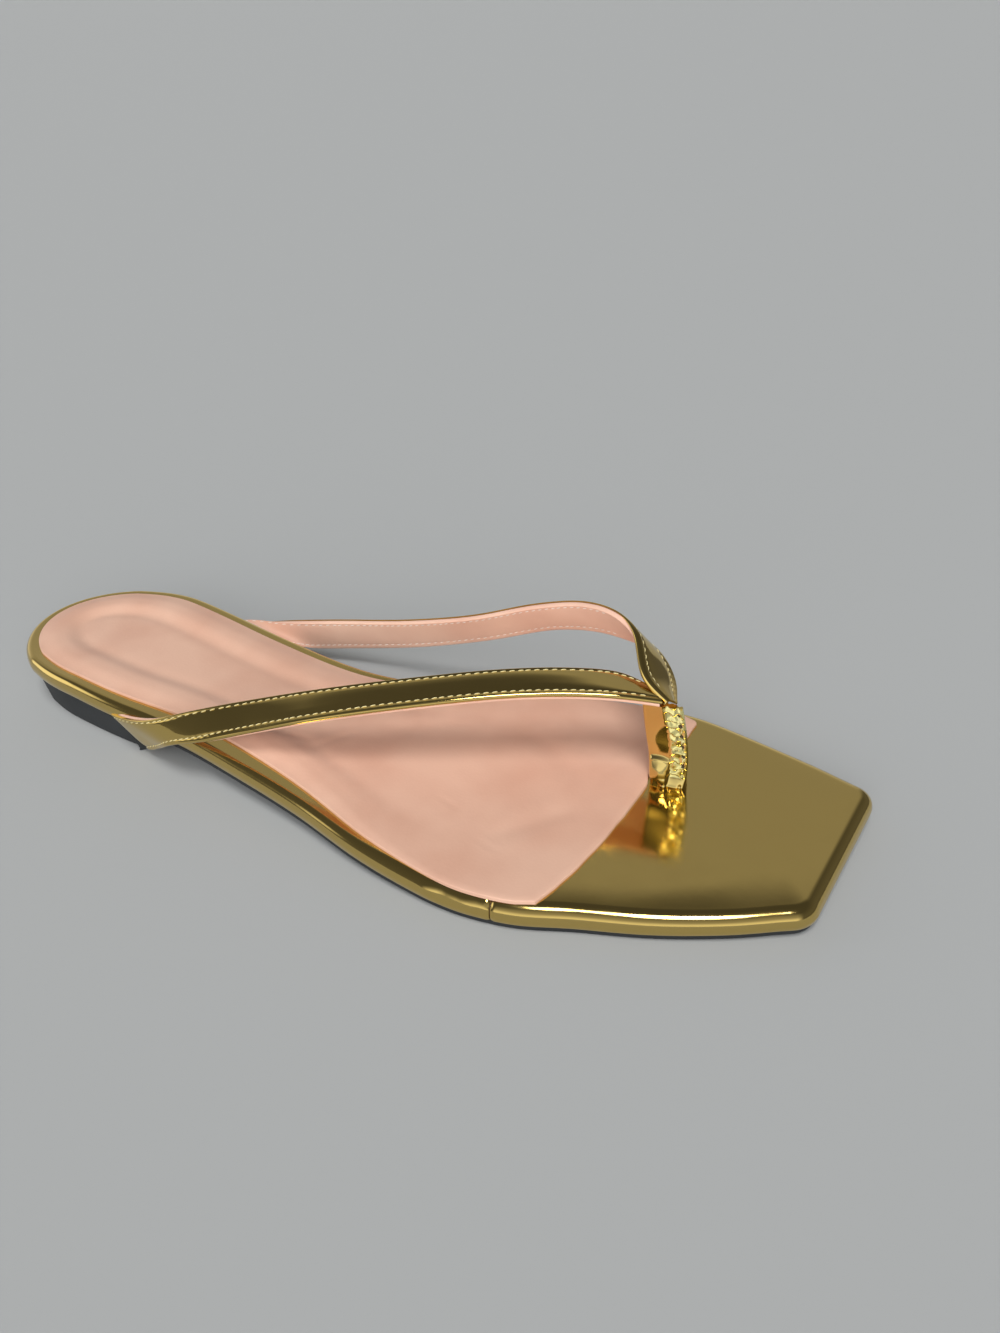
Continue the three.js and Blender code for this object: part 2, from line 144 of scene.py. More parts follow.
# mirror foil on coated leather: a clear gold mirror, softened by the film's fine orange peel
def mirrorFoil(name, gold, roughness, peelHeightMm):
    look = {"peelMm": 2.4, "swellMm": 26.0, "swellHeightMm": 0.03, "blurMm": 9.0,
            "clearest": 0.8, "dullest": 1.25}
    material, tree = newMaterial(name)
    coords = addNode(tree, "ShaderNodeTexCoord")
    onPiece = {"Vector": coords.outputs["Object"]}
    swell = addNode(tree, "ShaderNodeTexNoise", {"Scale": scaleFor(look["swellMm"]), "Detail": 1.0}, onPiece)
    peel = addNode(tree, "ShaderNodeTexNoise", {"Scale": scaleFor(look["peelMm"]), "Detail": 1.0}, onPiece)
    blur = addNode(tree, "ShaderNodeTexNoise", {"Scale": scaleFor(look["blurMm"]), "Detail": 2.0}, onPiece)
    rough = addNode(tree, "ShaderNodeMapRange",
                    {"From Min": 0.3, "From Max": 0.7,
                     "To Min": roughness * look["clearest"], "To Max": roughness * look["dullest"]},
                    {"Value": blur.outputs["Fac"]})
    low = addNode(tree, "ShaderNodeBump", {"Distance": look["swellHeightMm"] * mm},
                  {"Height": swell.outputs["Fac"]})
    fine = addNode(tree, "ShaderNodeBump", {"Distance": peelHeightMm * mm},
                   {"Height": peel.outputs["Fac"], "Normal": low.outputs["Normal"]})
    shader = addNode(tree, "ShaderNodeBsdfPrincipled",
                     {"Base Color": hexColor(gold), "Metallic": 1.0},
                     {"Roughness": rough.outputs["Result"], "Normal": fine.outputs["Normal"]})
    closeMaterial(tree, shader)
    return material


# coated lining leather: dull dusty pink with a fine pebble grain and a little mottling
def pinkLining(name, pale, deep):
    look = {"cloudMm": 22.0, "grainMm": 0.9, "grainHeightMm": 0.025}
    material, tree = newMaterial(name)
    coords = addNode(tree, "ShaderNodeTexCoord")
    onPiece = {"Vector": coords.outputs["Object"]}
    cloud = addNode(tree, "ShaderNodeTexNoise", {"Scale": scaleFor(look["cloudMm"]), "Detail": 3.0}, onPiece)
    share = addNode(tree, "ShaderNodeMapRange", {"From Min": 0.35, "From Max": 0.65},
                    {"Value": cloud.outputs["Fac"]})
    color = addNode(tree, "ShaderNodeMix", {"data_type": "RGBA", 6: hexColor(deep), 7: hexColor(pale)},
                    {"Factor": share.outputs["Result"]})
    grain = addNode(tree, "ShaderNodeTexVoronoi", {"Scale": scaleFor(look["grainMm"])}, onPiece)
    bump = addNode(tree, "ShaderNodeBump", {"Distance": look["grainHeightMm"] * mm, "Strength": 0.7},
                   {"Height": grain.outputs["Distance"]})
    shader = addNode(tree, "ShaderNodeBsdfPrincipled",
                     {"Roughness": 0.58, "Specular IOR Level": 0.35, "Sheen Weight": 0.08},
                     {"Base Color": color.outputs[2], "Normal": bump.outputs["Normal"]})
    closeMaterial(tree, shader)
    return material


# moulded rubber: charcoal and matt, with a fine grit
def charcoalRubber():
    look = {"dark": "#252728", "worn": "#333537", "cloudMm": 14.0, "gritMm": 0.8, "gritHeightMm": 0.05}
    material, tree = newMaterial("moulded rubber, charcoal")
    coords = addNode(tree, "ShaderNodeTexCoord")
    onPiece = {"Vector": coords.outputs["Object"]}
    cloud = addNode(tree, "ShaderNodeTexNoise", {"Scale": scaleFor(look["cloudMm"]), "Detail": 4.0}, onPiece)
    color = addNode(tree, "ShaderNodeMix",
                    {"data_type": "RGBA", 6: hexColor(look["dark"]), 7: hexColor(look["worn"])},
                    {"Factor": cloud.outputs["Fac"]})
    grit = addNode(tree, "ShaderNodeTexNoise", {"Scale": scaleFor(look["gritMm"]), "Detail": 3.0}, onPiece)
    bump = addNode(tree, "ShaderNodeBump", {"Distance": look["gritHeightMm"] * mm, "Strength": 0.6},
                   {"Height": grit.outputs["Fac"]})
    shader = addNode(tree, "ShaderNodeBsdfPrincipled", {"Roughness": 0.68, "Specular IOR Level": 0.4},
                     {"Base Color": color.outputs[2], "Normal": bump.outputs["Normal"]})
    closeMaterial(tree, shader)
    return material


# pressed fibre board: tan and dull, with short fibres
def fibreBoard():
    look = {"tan": "#8a7356", "dark": "#6f5a41", "fibreMm": 1.6, "fibreHeightMm": 0.08}
    material, tree = newMaterial("pressed fibre board")
    coords = addNode(tree, "ShaderNodeTexCoord")
    onPiece = {"Vector": coords.outputs["Object"]}
    fibre = addNode(tree, "ShaderNodeTexNoise", {"Scale": scaleFor(look["fibreMm"]), "Detail": 5.0}, onPiece)
    color = addNode(tree, "ShaderNodeMix",
                    {"data_type": "RGBA", 6: hexColor(look["dark"]), 7: hexColor(look["tan"])},
                    {"Factor": fibre.outputs["Fac"]})
    bump = addNode(tree, "ShaderNodeBump", {"Distance": look["fibreHeightMm"] * mm},
                   {"Height": fibre.outputs["Fac"]})
    shader = addNode(tree, "ShaderNodeBsdfPrincipled", {"Roughness": 0.9},
                     {"Base Color": color.outputs[2], "Normal": bump.outputs["Normal"]})
    closeMaterial(tree, shader)
    return material


# twisted polyester thread: soft gloss, with the ply drawn coarse enough to show
def thread(name, color):
    look = {"plyMm": 0.5, "plyHeightMm": 0.06}
    material, tree = newMaterial(name)
    coords = addNode(tree, "ShaderNodeTexCoord")
    ply = addNode(tree, "ShaderNodeTexNoise", {"Scale": scaleFor(look["plyMm"]), "Detail": 2.0},
                  {"Vector": coords.outputs["Object"]})
    bump = addNode(tree, "ShaderNodeBump", {"Distance": look["plyHeightMm"] * mm},
                   {"Height": ply.outputs["Fac"]})
    shader = addNode(tree, "ShaderNodeBsdfPrincipled",
                     {"Base Color": hexColor(color), "Roughness": 0.45, "Sheen Weight": 0.1},
                     {"Normal": bump.outputs["Normal"]})
    closeMaterial(tree, shader)
    return material


foilOnSole = mirrorFoil("mirror foil over the footbed", "#d2b66c", 0.11, 0.004)
foilOnStrap = mirrorFoil("mirror foil on the straps", "#d2b66c", 0.09, 0.004)
# painted light: the post's foil is the same gold painted paler, so that its reflections read lighter
foilOnPostPaintedPale = mirrorFoil("mirror foil on the post, painted paler as light", "#e2c87c", 0.1, 0.004)
# painted highlight: the sewn front's foil is painted pale to stand in for the light it catches; its creases
# and duller gloss are real
foilCreasedPaintedPale = mirrorFoil("mirror foil, creased, painted pale as a highlight", "#fff2a4", 0.2, 0.01)
# the sock and the strap linings are one pink leather in two copies: the straps' copy is painted lighter than
# the sock's, as painted light
sockPink = pinkLining("sock leather, dusty pink", "#e0b59d", "#d6a78f")
strapPinkPaintedLight = pinkLining("strap lining leather, the sock's pink painted lighter", "#efc5ad", "#e6b7a0")
rubber = charcoalRubber()
board = fibreBoard()
goldThread = thread("polyester thread, pale gold", "#dfd096")
pinkThread = thread("polyester thread, pale pink", "#f4e4da")
# painted shade: the needle holes of the post are painted dark where shade falls in them
holeShadePainted = thread("painted shade in the needle holes", "#40331a")
print("materials ready")


# a grid whose vertices are put in place by column and row; rows that fall together are merged
def shapedGrid(name, columns, rows, place, capped=False, sharpAngle=38):
    bpy.ops.object.select_all(action="DESELECT")
    bpy.ops.mesh.primitive_grid_add(x_subdivisions=columns - 1, y_subdivisions=rows - 1, size=1)
    piece = bpy.context.object
    piece.name = name
    piece.data.name = name
    for vertex in piece.data.vertices:
        column = round((vertex.co.x + 0.5) * (columns - 1))
        row = round((vertex.co.y + 0.5) * (rows - 1))
        vertex.co = place(column, row)
    bpy.ops.object.mode_set(mode="EDIT")
    bpy.ops.mesh.select_all(action="SELECT")
    bpy.ops.mesh.remove_doubles(threshold=0.002 * mm)
    if capped:
        bpy.ops.mesh.fill_holes(sides=0)
        bpy.ops.mesh.select_all(action="SELECT")
    bpy.ops.mesh.normals_make_consistent(inside=False)
    bpy.ops.object.mode_set(mode="OBJECT")
    bpy.ops.object.shade_smooth_by_angle(angle=math.radians(sharpAngle))
    while piece.data.uv_layers:
        piece.data.uv_layers.remove(piece.data.uv_layers[0])
    return piece


def addModifier(piece, kind, settings):
    bpy.ops.object.select_all(action="DESELECT")
    piece.select_set(True)
    bpy.context.view_layer.objects.active = piece
    modifier = piece.modifiers.new(kind.lower(), kind)
    for key, value in settings.items():
        setattr(modifier, key, value)
    bpy.ops.object.modifier_apply(modifier=modifier.name)


def dress(piece, material, slot, *nodes):
    piece.data.materials.clear()
    piece.data.materials.append(material)
    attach(piece, "root")
    if nodes:
        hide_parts(*nodes)
    print("made", piece.name, len(piece.data.polygons), "faces")
    return piece


# sole: its outline, its height and its rounded edge

sole = {
    "length": 257.7,
    "heelSeat": 17.0, "seatEnd": 38.0,
    "ball": 7.5, "ballStart": 181.0, "ballEnd": 206.0,
    "toe": 8.2, "toeCorner": 6.0, "toeLean": 4.0,
    # the toe end falls back towards its outer corner
    "bend": {"drop": 2.6, "from": 222.0, "to": 258.0, "across": -14.0, "span": 31.0, "mostShare": 1.1},
    "heelArc": 36.0,
    "footbed": 6.0,
    "gap": 0.25,
    "squareIn": 4.0,   # past this the way in bends to the spine
    "spineFrom": 28.0, "spineTo": 236.0,
    "fairFrom": 18.0, "fairTo": 60.0, "fairPasses": 50,
    # along, outer and inner half width
    "sides": [
        (36, 28.5, 28.0), (53, 30.5, 25.6), (81, 31.3, 21.7), (109, 35.0, 20.0), (128, 38.3, 23.5),
        (150, 43.5, 31.8), (170, 46.2, 39.4), (181, 46.3, 42.9), (194, 44.3, 45.2), (207, 39.4, 45.4),
        (223, 33.8, 42.2), (240, 26.2, 37.8), (252, 19.9, 33.9),
    ],
}
outer = 1   # columns of the half widths
inner = 2


def halfWidth(side, along):
    if along >= sole["heelArc"]:
        return readTable(sole["sides"], side, along)
    lead = (sole["heelArc"] - along) / sole["heelArc"]
    return sole["sides"][0][side] * math.sqrt(max(1 - lead * lead, 0))


def rimHeight(along):
    fall = clamp01((along - sole["seatEnd"]) / (sole["ballStart"] - sole["seatEnd"]))
    share = 0.5 * fall + 0.5 * fall * fall * (3 - 2 * fall)
    spring = clamp01((along - sole["ballEnd"]) / (sole["length"] - sole["ballEnd"]))
    drop = (sole["heelSeat"] - sole["ball"]) * share
    return sole["heelSeat"] - drop + (sole["toe"] - sole["ball"]) * spring * spring


def spinePoint(along, first=None, last=None):
    at = min(max(along, first or sole["spineFrom"]), last or sole["spineTo"])
    return Vector(((halfWidth(outer, at) - halfWidth(inner, at)) / 2, at))


def toeCorner(side, sign, steps=14):
    start = sole["sides"][-1][0]
    wide = halfWidth(side, start)
    lean = math.atan2(wide - halfWidth(side, start - sole["toeLean"]), sole["toeLean"])
    radius = sole["toeCorner"]
    centreY = sole["length"] - radius
    centreX = wide + math.tan(lean) * (centreY - start) - radius / math.cos(lean)
    turn = math.pi / 2 + lean
    angles = [-lean + turn * i / steps for i in range(steps + 1)]
    return [Vector((sign * (centreX + radius * math.cos(a)), centreY + radius * math.sin(a))) for a in angles]


# evenly spaced points along a closed line
def resample(points, spacing):
    line = points + [points[0]]
    reach = [0.0]
    for a, b in zip(line, line[1:]):
        reach.append(reach[-1] + (b - a).length)
    count = round(reach[-1] / spacing)
    result = []
    index = 0
    for k in range(count):
        at = reach[-1] * k / count
        while index < len(line) - 2 and reach[index + 1] < at:
            index += 1
        share = (at - reach[index]) / max(reach[index + 1] - reach[index], 1e-9)
        result.append(line[index].lerp(line[index + 1], share))
    return result


# inward direction at each point of a closed line that runs counter-clockwise
def inwardAt(points, index, reach=2):
    ahead = points[(index + reach) % len(points)]
    behind = points[(index - reach) % len(points)]
    run = (ahead - behind).normalized()
    return Vector((-run.y, run.x))


def bentToe(point):
    bend = sole["bend"]
    lead = clamp01((point.y - bend["from"]) / (bend["to"] - bend["from"]))
    share = min(max((point.x - bend["across"]) / bend["span"], 0.0), bend["mostShare"])
    return Vector((point.x, point.y - bend["drop"] * lead * lead * share * share))


# closed outline of the sole from above, from the heel round the outer side
def soleOutline(spacing):
    arc = [math.radians(2 * k) for k in range(45)]
    depth = sole["heelArc"]
    sideStations = [sole["heelArc"] + k for k in range(int(sole["sides"][-1][0] - depth) + 1)]
    rough = [Vector((sole["sides"][0][outer] * math.sin(a), depth * (1 - math.cos(a)))) for a in arc]
    rough += [Vector((halfWidth(outer, y), y)) for y in sideStations]
    rough += toeCorner(outer, 1)
    rough += reversed(toeCorner(inner, -1))
    rough += [Vector((-halfWidth(inner, y), y)) for y in reversed(sideStations)]
    rough += [Vector((-sole["sides"][0][inner] * math.sin(a), depth * (1 - math.cos(a))))
              for a in reversed(arc[1:])]
    points = resample([bentToe(p) for p in rough], spacing)
    for unused in range(sole["fairPasses"]):
        before = [p.copy() for p in points]
        for i, p in enumerate(before):
            if sole["fairFrom"] < p.y < sole["fairTo"]:
                points[i] = (before[i - 1] + p * 2 + before[(i + 1) % len(before)]) / 4
    return [(p, inwardAt(points, i)) for i, p in enumerate(points)]


# spine places of a line's points: both sides of the foot share one, so that they meet there
def pairedSpine(path, closed, first=None, last=None):
    count = len(path)
    partner = [(count - i) % count if closed else count - 1 - i for i in range(count)]
    return [spinePoint((path[i][0].y + path[k][0].y) / 2, first, last) for i, k in enumerate(partner)]


# a place moved in from an edge: square to it at first, then towards the spine
def moveIn(point, inward, distance, spine):
    square = min(distance, sole["squareIn"])
    place = point + inward * square
    away = spine - place
    rest = clamp01((distance - square) / max(away.length, 1e-6))
    return place + away * rest


outlineSpacing = 1.3
outlineOfSole = soleOutline(outlineSpacing)


# the same line between two places on it, with finer steps at both ends
def openStretch(isInside, fineSteps):
    count = len(outlineOfSole)
    inside = [isInside(p) for p, inward in outlineOfSole]
    start = next(i for i in range(count) if inside[i] and not inside[i - 1])
    run = []
    index = start
    while inside[index % count]:
        run.append(outlineOfSole[index % count])
        index += 1

    def between(a, b, share):
        return a[0].lerp(b[0], share), a[1].lerp(b[1], share).normalized()

    beforeFirst = outlineOfSole[(start - 1) % count]
    afterLast = outlineOfSole[index % count]

    def cutShare(a, b):
        low, high = 0.0, 1.0
        for unused in range(30):
            middle = (low + high) / 2
            if isInside(a[0].lerp(b[0], middle)):
                low = middle
            else:
                high = middle
        return low

    first = between(run[0], beforeFirst, cutShare(run[0], beforeFirst))
    last = between(run[-1], afterLast, cutShare(run[-1], afterLast))
    head = [between(first, run[1], share) for share in fineSteps]
    tail = [between(last, run[-2], share) for share in reversed(fineSteps)]
    return head + run[1:-1] + tail


# edge of the footbed: nearly square at the heel and rounder towards the toes
edge = {
    "shoulderSteps": 14, "sideSteps": 4, "turnSteps": 6, "margin": 9.0, "underRows": (3.6, 6.0),
    # fall of the cover towards its edge, larger round the front of the toes
    "crown": 0.14, "crownReach": 7.0, "crownToe": 0.32, "crownReachToe": 12.0,
    "crownFrom": 214.0, "crownTo": 238.0,
    "shoulderHeel": 2.2, "shoulderToe": 3.6, "turnHeel": 2.3, "turnToe": 1.5, "sideBulge": 0.1,
    "softenFrom": 140.0, "softenTo": 196.0,
    # the strip on top leans in from just past the shoulder on
    "lean": 0.075, "leanFrom": 0.12, "stripShares": (1.0, 0.8, 0.62, 0.45, 0.3, 0.15, 0.0),
}


def shoulderAt(along):
    return lerp(edge["shoulderHeel"], edge["shoulderToe"], ease(edge["softenFrom"], edge["softenTo"], along))


def crownAt(along):
    share = ease(edge["crownFrom"], edge["crownTo"], along)
    crown = lerp(edge["crown"], edge["crownToe"], share)
    return crown, lerp(edge["crownReach"], edge["crownReachToe"], share)


def crownDrop(inset, along):
    crown, reach = crownAt(along)
    return crown * (1 - clamp01((inset - shoulderAt(along)) / reach)) ** 2


# inset and height for each row, from above to below
def edgeRows(along, crown):
    rows = []
    quarter = math.pi / 2
    radius = shoulderAt(along)
    turn = lerp(edge["turnHeel"], edge["turnToe"], ease(edge["softenFrom"], edge["softenTo"], along))
    straight = sole["footbed"] - radius - turn
    for k in range(edge["shoulderSteps"] + 1):
        angle = quarter * k / edge["shoulderSteps"]
        rows.append((radius - radius * math.sin(angle),
                     radius * math.cos(angle) - radius - crown * math.cos(angle)))
    for k in range(1, edge["sideSteps"]):
        share = k / edge["sideSteps"]
        rows.append((-edge["sideBulge"] * math.sin(math.pi * share), -radius - straight * share))
    for k in range(edge["turnSteps"] + 1):
        angle = quarter * k / edge["turnSteps"]
        rows.append((turn - turn * math.cos(angle), -sole["footbed"] + turn - turn * math.sin(angle)))
    for inset in (*edge["underRows"], edge["margin"]):
        rows.append((inset, -sole["footbed"]))
    return rows


# foil cover over the forefoot, and the foil strip round the rest of the edge
cover = {
    "seam": 188.7, "thickness": 0.8,
    # the edge is drawn in and down at the seam, on its top and upper side
    "seamDip": 0.25, "seamReach": 0.55, "dipInset": 0.5, "dipBelow": 3.0, "dipFade": 8,
    "fineSteps": (0.0, 0.12, 0.28, 0.5, 0.75),
    "innerRows": 26, "rowPower": 0.9,
    # shallow dish round the foot of the post: across, along, depth, reach
    "dish": (-13.8, 209.0, 0.32, 16.0),
    # dents of the strip beside the seam: side, along, depth, length
    "dents": [(outer, 176.5, 0.35, 2.2), (outer, 171.5, -0.18, 1.8), (outer, 183.0, -0.12, 2.4),
              (outer, 185.8, 0.12, 1.0), (outer, 180.2, 0.1, 1.1),
              (inner, 180.0, 0.2, 2.4)],
    "dentBelow": 2.0, "dentReach": 2.2,
}


def seamDip(place):
    return cover["seamDip"] * bell(abs(place.y - cover["seam"]) - sole["gap"] / 2, cover["seamReach"])


# how far a dent beside the seam pulls the rounded edge in
def dentDepth(place):
    total = 0.0
    for side, along, depth, length in cover["dents"]:
        if (place.x > 0) == (side == outer):
            total += depth * bell(place.y - along, length)
    return total


def edgePlace(edgePoint, spine, inset, height):
    point, inward = edgePoint
    depth = seamDip(point)
    push = depth
    if inset < shoulderAt(point.y):
        push += dentDepth(point) * bell(height + cover["dentBelow"], cover["dentReach"])
    if inset >= edge["margin"] - 1:
        push = 0.0
    place = moveIn(point, inward, inset + push, spine)
    dipped = inset > cover["dipInset"] and height > -cover["dipBelow"]
    return place, rimHeight(place.y) + height - (depth if dipped else 0.0)


def makeRand():
    path = openStretch(lambda p: p.y < cover["seam"] - sole["gap"] / 2, cover["fineSteps"])
    spine = pairedSpine(path, False)

    def stripRows(along):
        shoulder = shoulderAt(along)
        top = [lerp(shoulder + edge["leanFrom"], edge["margin"], share) for share in edge["stripShares"]]
        return [(inset, -edge["lean"] * (inset - shoulder)) for inset in top] + edgeRows(along, 0.0)

    rows = [stripRows(p.y) for p, inward in path]

    def place(column, row):
        spot, height = edgePlace(path[column], spine[column], *rows[column][row])
        return toFrame(spot.x, spot.y, height)

    rand = shapedGrid("goldRand", len(path), len(rows[0]), place)
    addModifier(rand, "SOLIDIFY", {"thickness": cover["thickness"] * mm, "offset": -1.0})
    return rand


def makeToeCover():
    path = openStretch(lambda p: p.y > cover["seam"] + sole["gap"] / 2, cover["fineSteps"])
    rows = [edgeRows(p.y, crownAt(p.y)[0]) for p, inward in path]
    count = cover["innerRows"]
    spine = pairedSpine(path, False)

    def place(column, row):
        point, inward = path[column]
        if row >= count:
            spot, height = edgePlace(path[column], spine[column], *rows[column][row - count])
        else:
            share = (row / count) ** cover["rowPower"]
            shoulder = shoulderAt(point.y)
            start = moveIn(point, inward, shoulder, spine[column])
            spot = spine[column].lerp(start, share)
            reach = shoulder + (start - spot).length
            height = rimHeight(spot.y) - crownDrop(reach, point.y)
            height -= seamDip(point) * share ** cover["dipFade"]
            across, along, depth, dishReach = cover["dish"]
            height -= depth * bell(math.hypot(spot.x - across, spot.y - along), dishReach)
        return toFrame(spot.x, spot.y, height)

    toeCover = shapedGrid("goldToeCover", len(path), count + len(rows[0]), place)
    addModifier(toeCover, "SOLIDIFY", {"thickness": cover["thickness"] * mm, "offset": -1.0})
    return toeCover


# sock lining: raised border, dished middle and a slanting, hand-cut front edge
sock = {
    "thickness": 1.2, "frontThickness": 0.75, "thinFrom": 110.0, "thinTo": 175.0, "spacing": 1.2,
    "edgeRound": 0.3, "edgeThickness": 0.35, "edgeReach": 5.5, "frontEdge": 0.6, "frontReach": 1.4,
    "foam": {"below": 0.8, "inset": 9.6, "from": 180.7, "to": 184.7},
    # along, outer and inner step in from the sole's edge
    "insets": [(0, 4.3, 4.3), (45, 4.5, 4.2), (100, 6.2, 4.2), (150, 3.6, 3.6), (182, 1.9, 3.2),
               (210, 1.9, 4.6)],
    # across, along
    "front": [(40.4, 198.3), (31.3, 200.9), (18.5, 203.1), (5.1, 204.3), (-12.2, 205.0), (-30.0, 206.6),
              (-40.3, 206.9)],
    "frontSteps": 90, "cornerSpan": 3.0, "spineTo": 184.0,
    "notch": {"across": -13.8, "reach": 2.4, "depth": 1.6},
    # the front edge is cut a little ragged, but for a few steps at its ends
    "ragged": 0.22, "raggedMm": 5.0, "raggedEnds": 5,
    "dish": {"depth": 1.1, "rim": 7.5, "floor": 13.5, "fadeFrom": 90.0, "fadeTo": 170.0},
    "trough": {"depth": 0.3, "at": 12.5, "reach": 2.6},
    "middleRows": 30,
    "pillow": 0.35, "pillowMm": 40.0, "pillowFade": (2.0, 12.0),
    # a crease runs out past its ends, with a low ridge beside it
    "crease": {"past": 0.3, "full": 0.25, "ridge": 0.4, "ridgeAt": 2.2, "fade": (1.0, 4.0)},
    # soft creases: from, to, depth and reach, the outer side positive
    "creases": [
        ((17.3, 119.9), (8.0, 124.9), 0.2, 0.9),
        ((17.2, 110.1), (15.6, 116.3), 0.16, 0.9),
        ((18.9, 159.4), (20.8, 166.2), 0.12, 0.6),
        ((27.8, 174.9), (29.9, 182.5), 0.12, 0.6),
        ((10.0, 96.0), (-2.0, 108.0), 0.25, 2.4),
        ((2.0, 132.0), (-10.0, 150.0), 0.25, 3.0),
        ((26.0, 178.0), (8.0, 192.0), 0.2, 2.6),
        ((-16.0, 168.0), (-4.0, 188.0), 0.2, 2.8),
    ],
}


def sockOutline():
    def moved(edgePoint, side):
        point, inward = edgePoint
        inset = readTable(sock["insets"], side, point.y)
        return moveIn(point, inward, inset, spinePoint(point.y, None, sock["spineTo"]))

    front = [Vector(p) for p in sock["front"]]
    outerEnd = front[0].y - sock["cornerSpan"]
    innerEnd = front[-1].y - sock["cornerSpan"]
    half = next(i for i, (p, n) in enumerate(outlineOfSole) if p.x < 0 < i)
    outerSide = [moved(e, outer) for e in outlineOfSole[:half] if e[0].y < outerEnd]
    innerSide = [moved(e, inner) for e in outlineOfSole[half:] if e[0].y < innerEnd]
    steps = sock["frontSteps"]
    frontLine = smoothLine(front, steps)
    notch = sock["notch"]
    for i, p in enumerate(frontLine):
        p.y -= notch["depth"] * bell(p.x - notch["across"], notch["reach"])
        wobble = noise.noise(Vector((p.x / sock["raggedMm"], 3.7, 0.0)))
        fade = ease(0, sock["raggedEnds"], i) * ease(steps, steps - sock["raggedEnds"], i)
        p.y += sock["ragged"] * wobble * fade
    points = resample(outerSide + frontLine + innerSide, sock["spacing"])
    return [(p, inwardAt(points, i)) for i, p in enumerate(points)]


# centripetal curve through points, read at equal shares of its spans
def curvePoint(points, t):
    last = len(points) - 1
    index = min(int(last * t), last - 1)
    w = last * t - index
    p1 = points[index]
    p2 = points[index + 1]
    p0 = points[index - 1] if index > 0 else p1 * 2 - p2
    p3 = points[index + 2] if index + 2 <= last else p2 * 2 - p1
    d0 = (p1 - p0).length ** 0.5
    d1 = (p2 - p1).length ** 0.5
    d2 = (p3 - p2).length ** 0.5
    start = ((p1 - p0) / d0 - (p2 - p0) / (d0 + d1) + (p2 - p1) / d1) * d1
    end = ((p2 - p1) / d1 - (p3 - p1) / (d1 + d2) + (p3 - p2) / d2) * d1
    square = w * w
    cube = square * w
    return (p1 + start * w + (p2 * 3 - p1 * 3 - start * 2 - end) * square
            + (p1 * 2 - p2 * 2 + start + end) * cube)


def smoothLine(points, count):
    return [curvePoint(points, k / count) for k in range(count + 1)]


def creaseDepth(spot):
    form = sock["crease"]
    past = form["past"]
    full = form["full"]
    total = 0.0
    for start, end, depth, reach in sock["creases"]:
        a = Vector(start)
        run = Vector(end) - a
        share = (spot - a).dot(run) / run.length_squared
        if -past < share < 1 + past:
            away = (spot - a - run * clamp01(share)).length
            ends = ease(-past, full, share) * ease(1 + past, 1 - full, share)
            ridge = form["ridge"] * bell(away - form["ridgeAt"] * reach, reach)
            total += depth * ends * (bell(away, reach) - ridge)
    return total


def makeSock():
    path = sockOutline()
    spines = pairedSpine(path, True, None, sock["spineTo"])
    dish = sock["dish"]
    trough = sock["trough"]
    rim = sock["edgeRound"]
    foam = sock["foam"]

    # height of the middle and of the cut edge, and how far in the edge rises
    def thicknessAt(along):
        share = ease(sock["thinFrom"], sock["thinTo"], along)
        return (sole["gap"] + lerp(sock["thickness"], sock["frontThickness"], share),
                sole["gap"] + lerp(sock["edgeThickness"], sock["frontEdge"], share),
                lerp(sock["edgeReach"], sock["frontReach"], share))

    # inset and height of the edge rows, from below to above; the foam under the middle sits lower
    wall = [(foam["inset"], None), (foam["inset"] - 0.2, sole["gap"]), (1.5, sole["gap"]),
            (0.3, -0.3), (0.0, -0.27)]
    turned = [math.radians(d) for d in (90, 65, 40, 18, 0)]
    borderInsets = [0.5, 0.9, 1.4, 2.0] + [2.8 + 0.8 * k for k in range(15)]
    below = len(wall)
    wallRows = below + len(turned)
    total = 1 + wallRows + len(borderInsets) + sock["middleRows"]

    def place(column, row):
        point, inward = path[column % len(path)]
        spine = spines[column % len(path)]
        top, edgeTop, edgeReach = thicknessAt(point.y)
        if row <= wallRows:
            inset, height = wall[row - 1] if 0 < row <= below else (0.0, None)
            if row > below:
                angle = turned[row - below - 1]
                inset = rim * (1 - math.sin(angle))
                height = edgeTop - rim * (1 - math.cos(angle))
            spot = moveIn(point, inward, inset, spine) if row else spine
            if height is None:
                height = lerp(-foam["below"], sole["gap"], ease(foam["from"], foam["to"], spot.y))
            return toFrame(spot.x, spot.y, rimHeight(spot.y) + height)
        index = row - wallRows - 1
        start = moveIn(point, inward, borderInsets[-1], spine)
        if index < len(borderInsets):
            inset = borderInsets[index]
            spot = moveIn(point, inward, inset, spine)
        else:
            share = (index - len(borderInsets) + 1) / sock["middleRows"]
            spot = start.lerp(spine, share)
            inset = borderInsets[-1] + (spot - start).length
        fade = ease(dish["fadeTo"], dish["fadeFrom"], spot.y)
        dip = dish["depth"] * ease(dish["rim"], dish["floor"], inset) * fade
        dip += trough["depth"] * bell(inset - trough["at"], trough["reach"]) * fade
        top = thicknessAt(spot.y)[0]
        rise = lerp(edgeTop, top, ease(0.0, edgeReach, inset))
        height = rise - dip - creaseDepth(spot) * ease(*sock["crease"]["fade"], inset)
        soft = noise.noise(Vector((spot.x / sock["pillowMm"], spot.y / sock["pillowMm"], 1.3)))
        height += sock["pillow"] * soft * ease(*sock["pillowFade"], inset)
        return toFrame(spot.x, spot.y, rimHeight(spot.y) + height)

    return shapedGrid("sockLining", len(path) + 1, total, place)


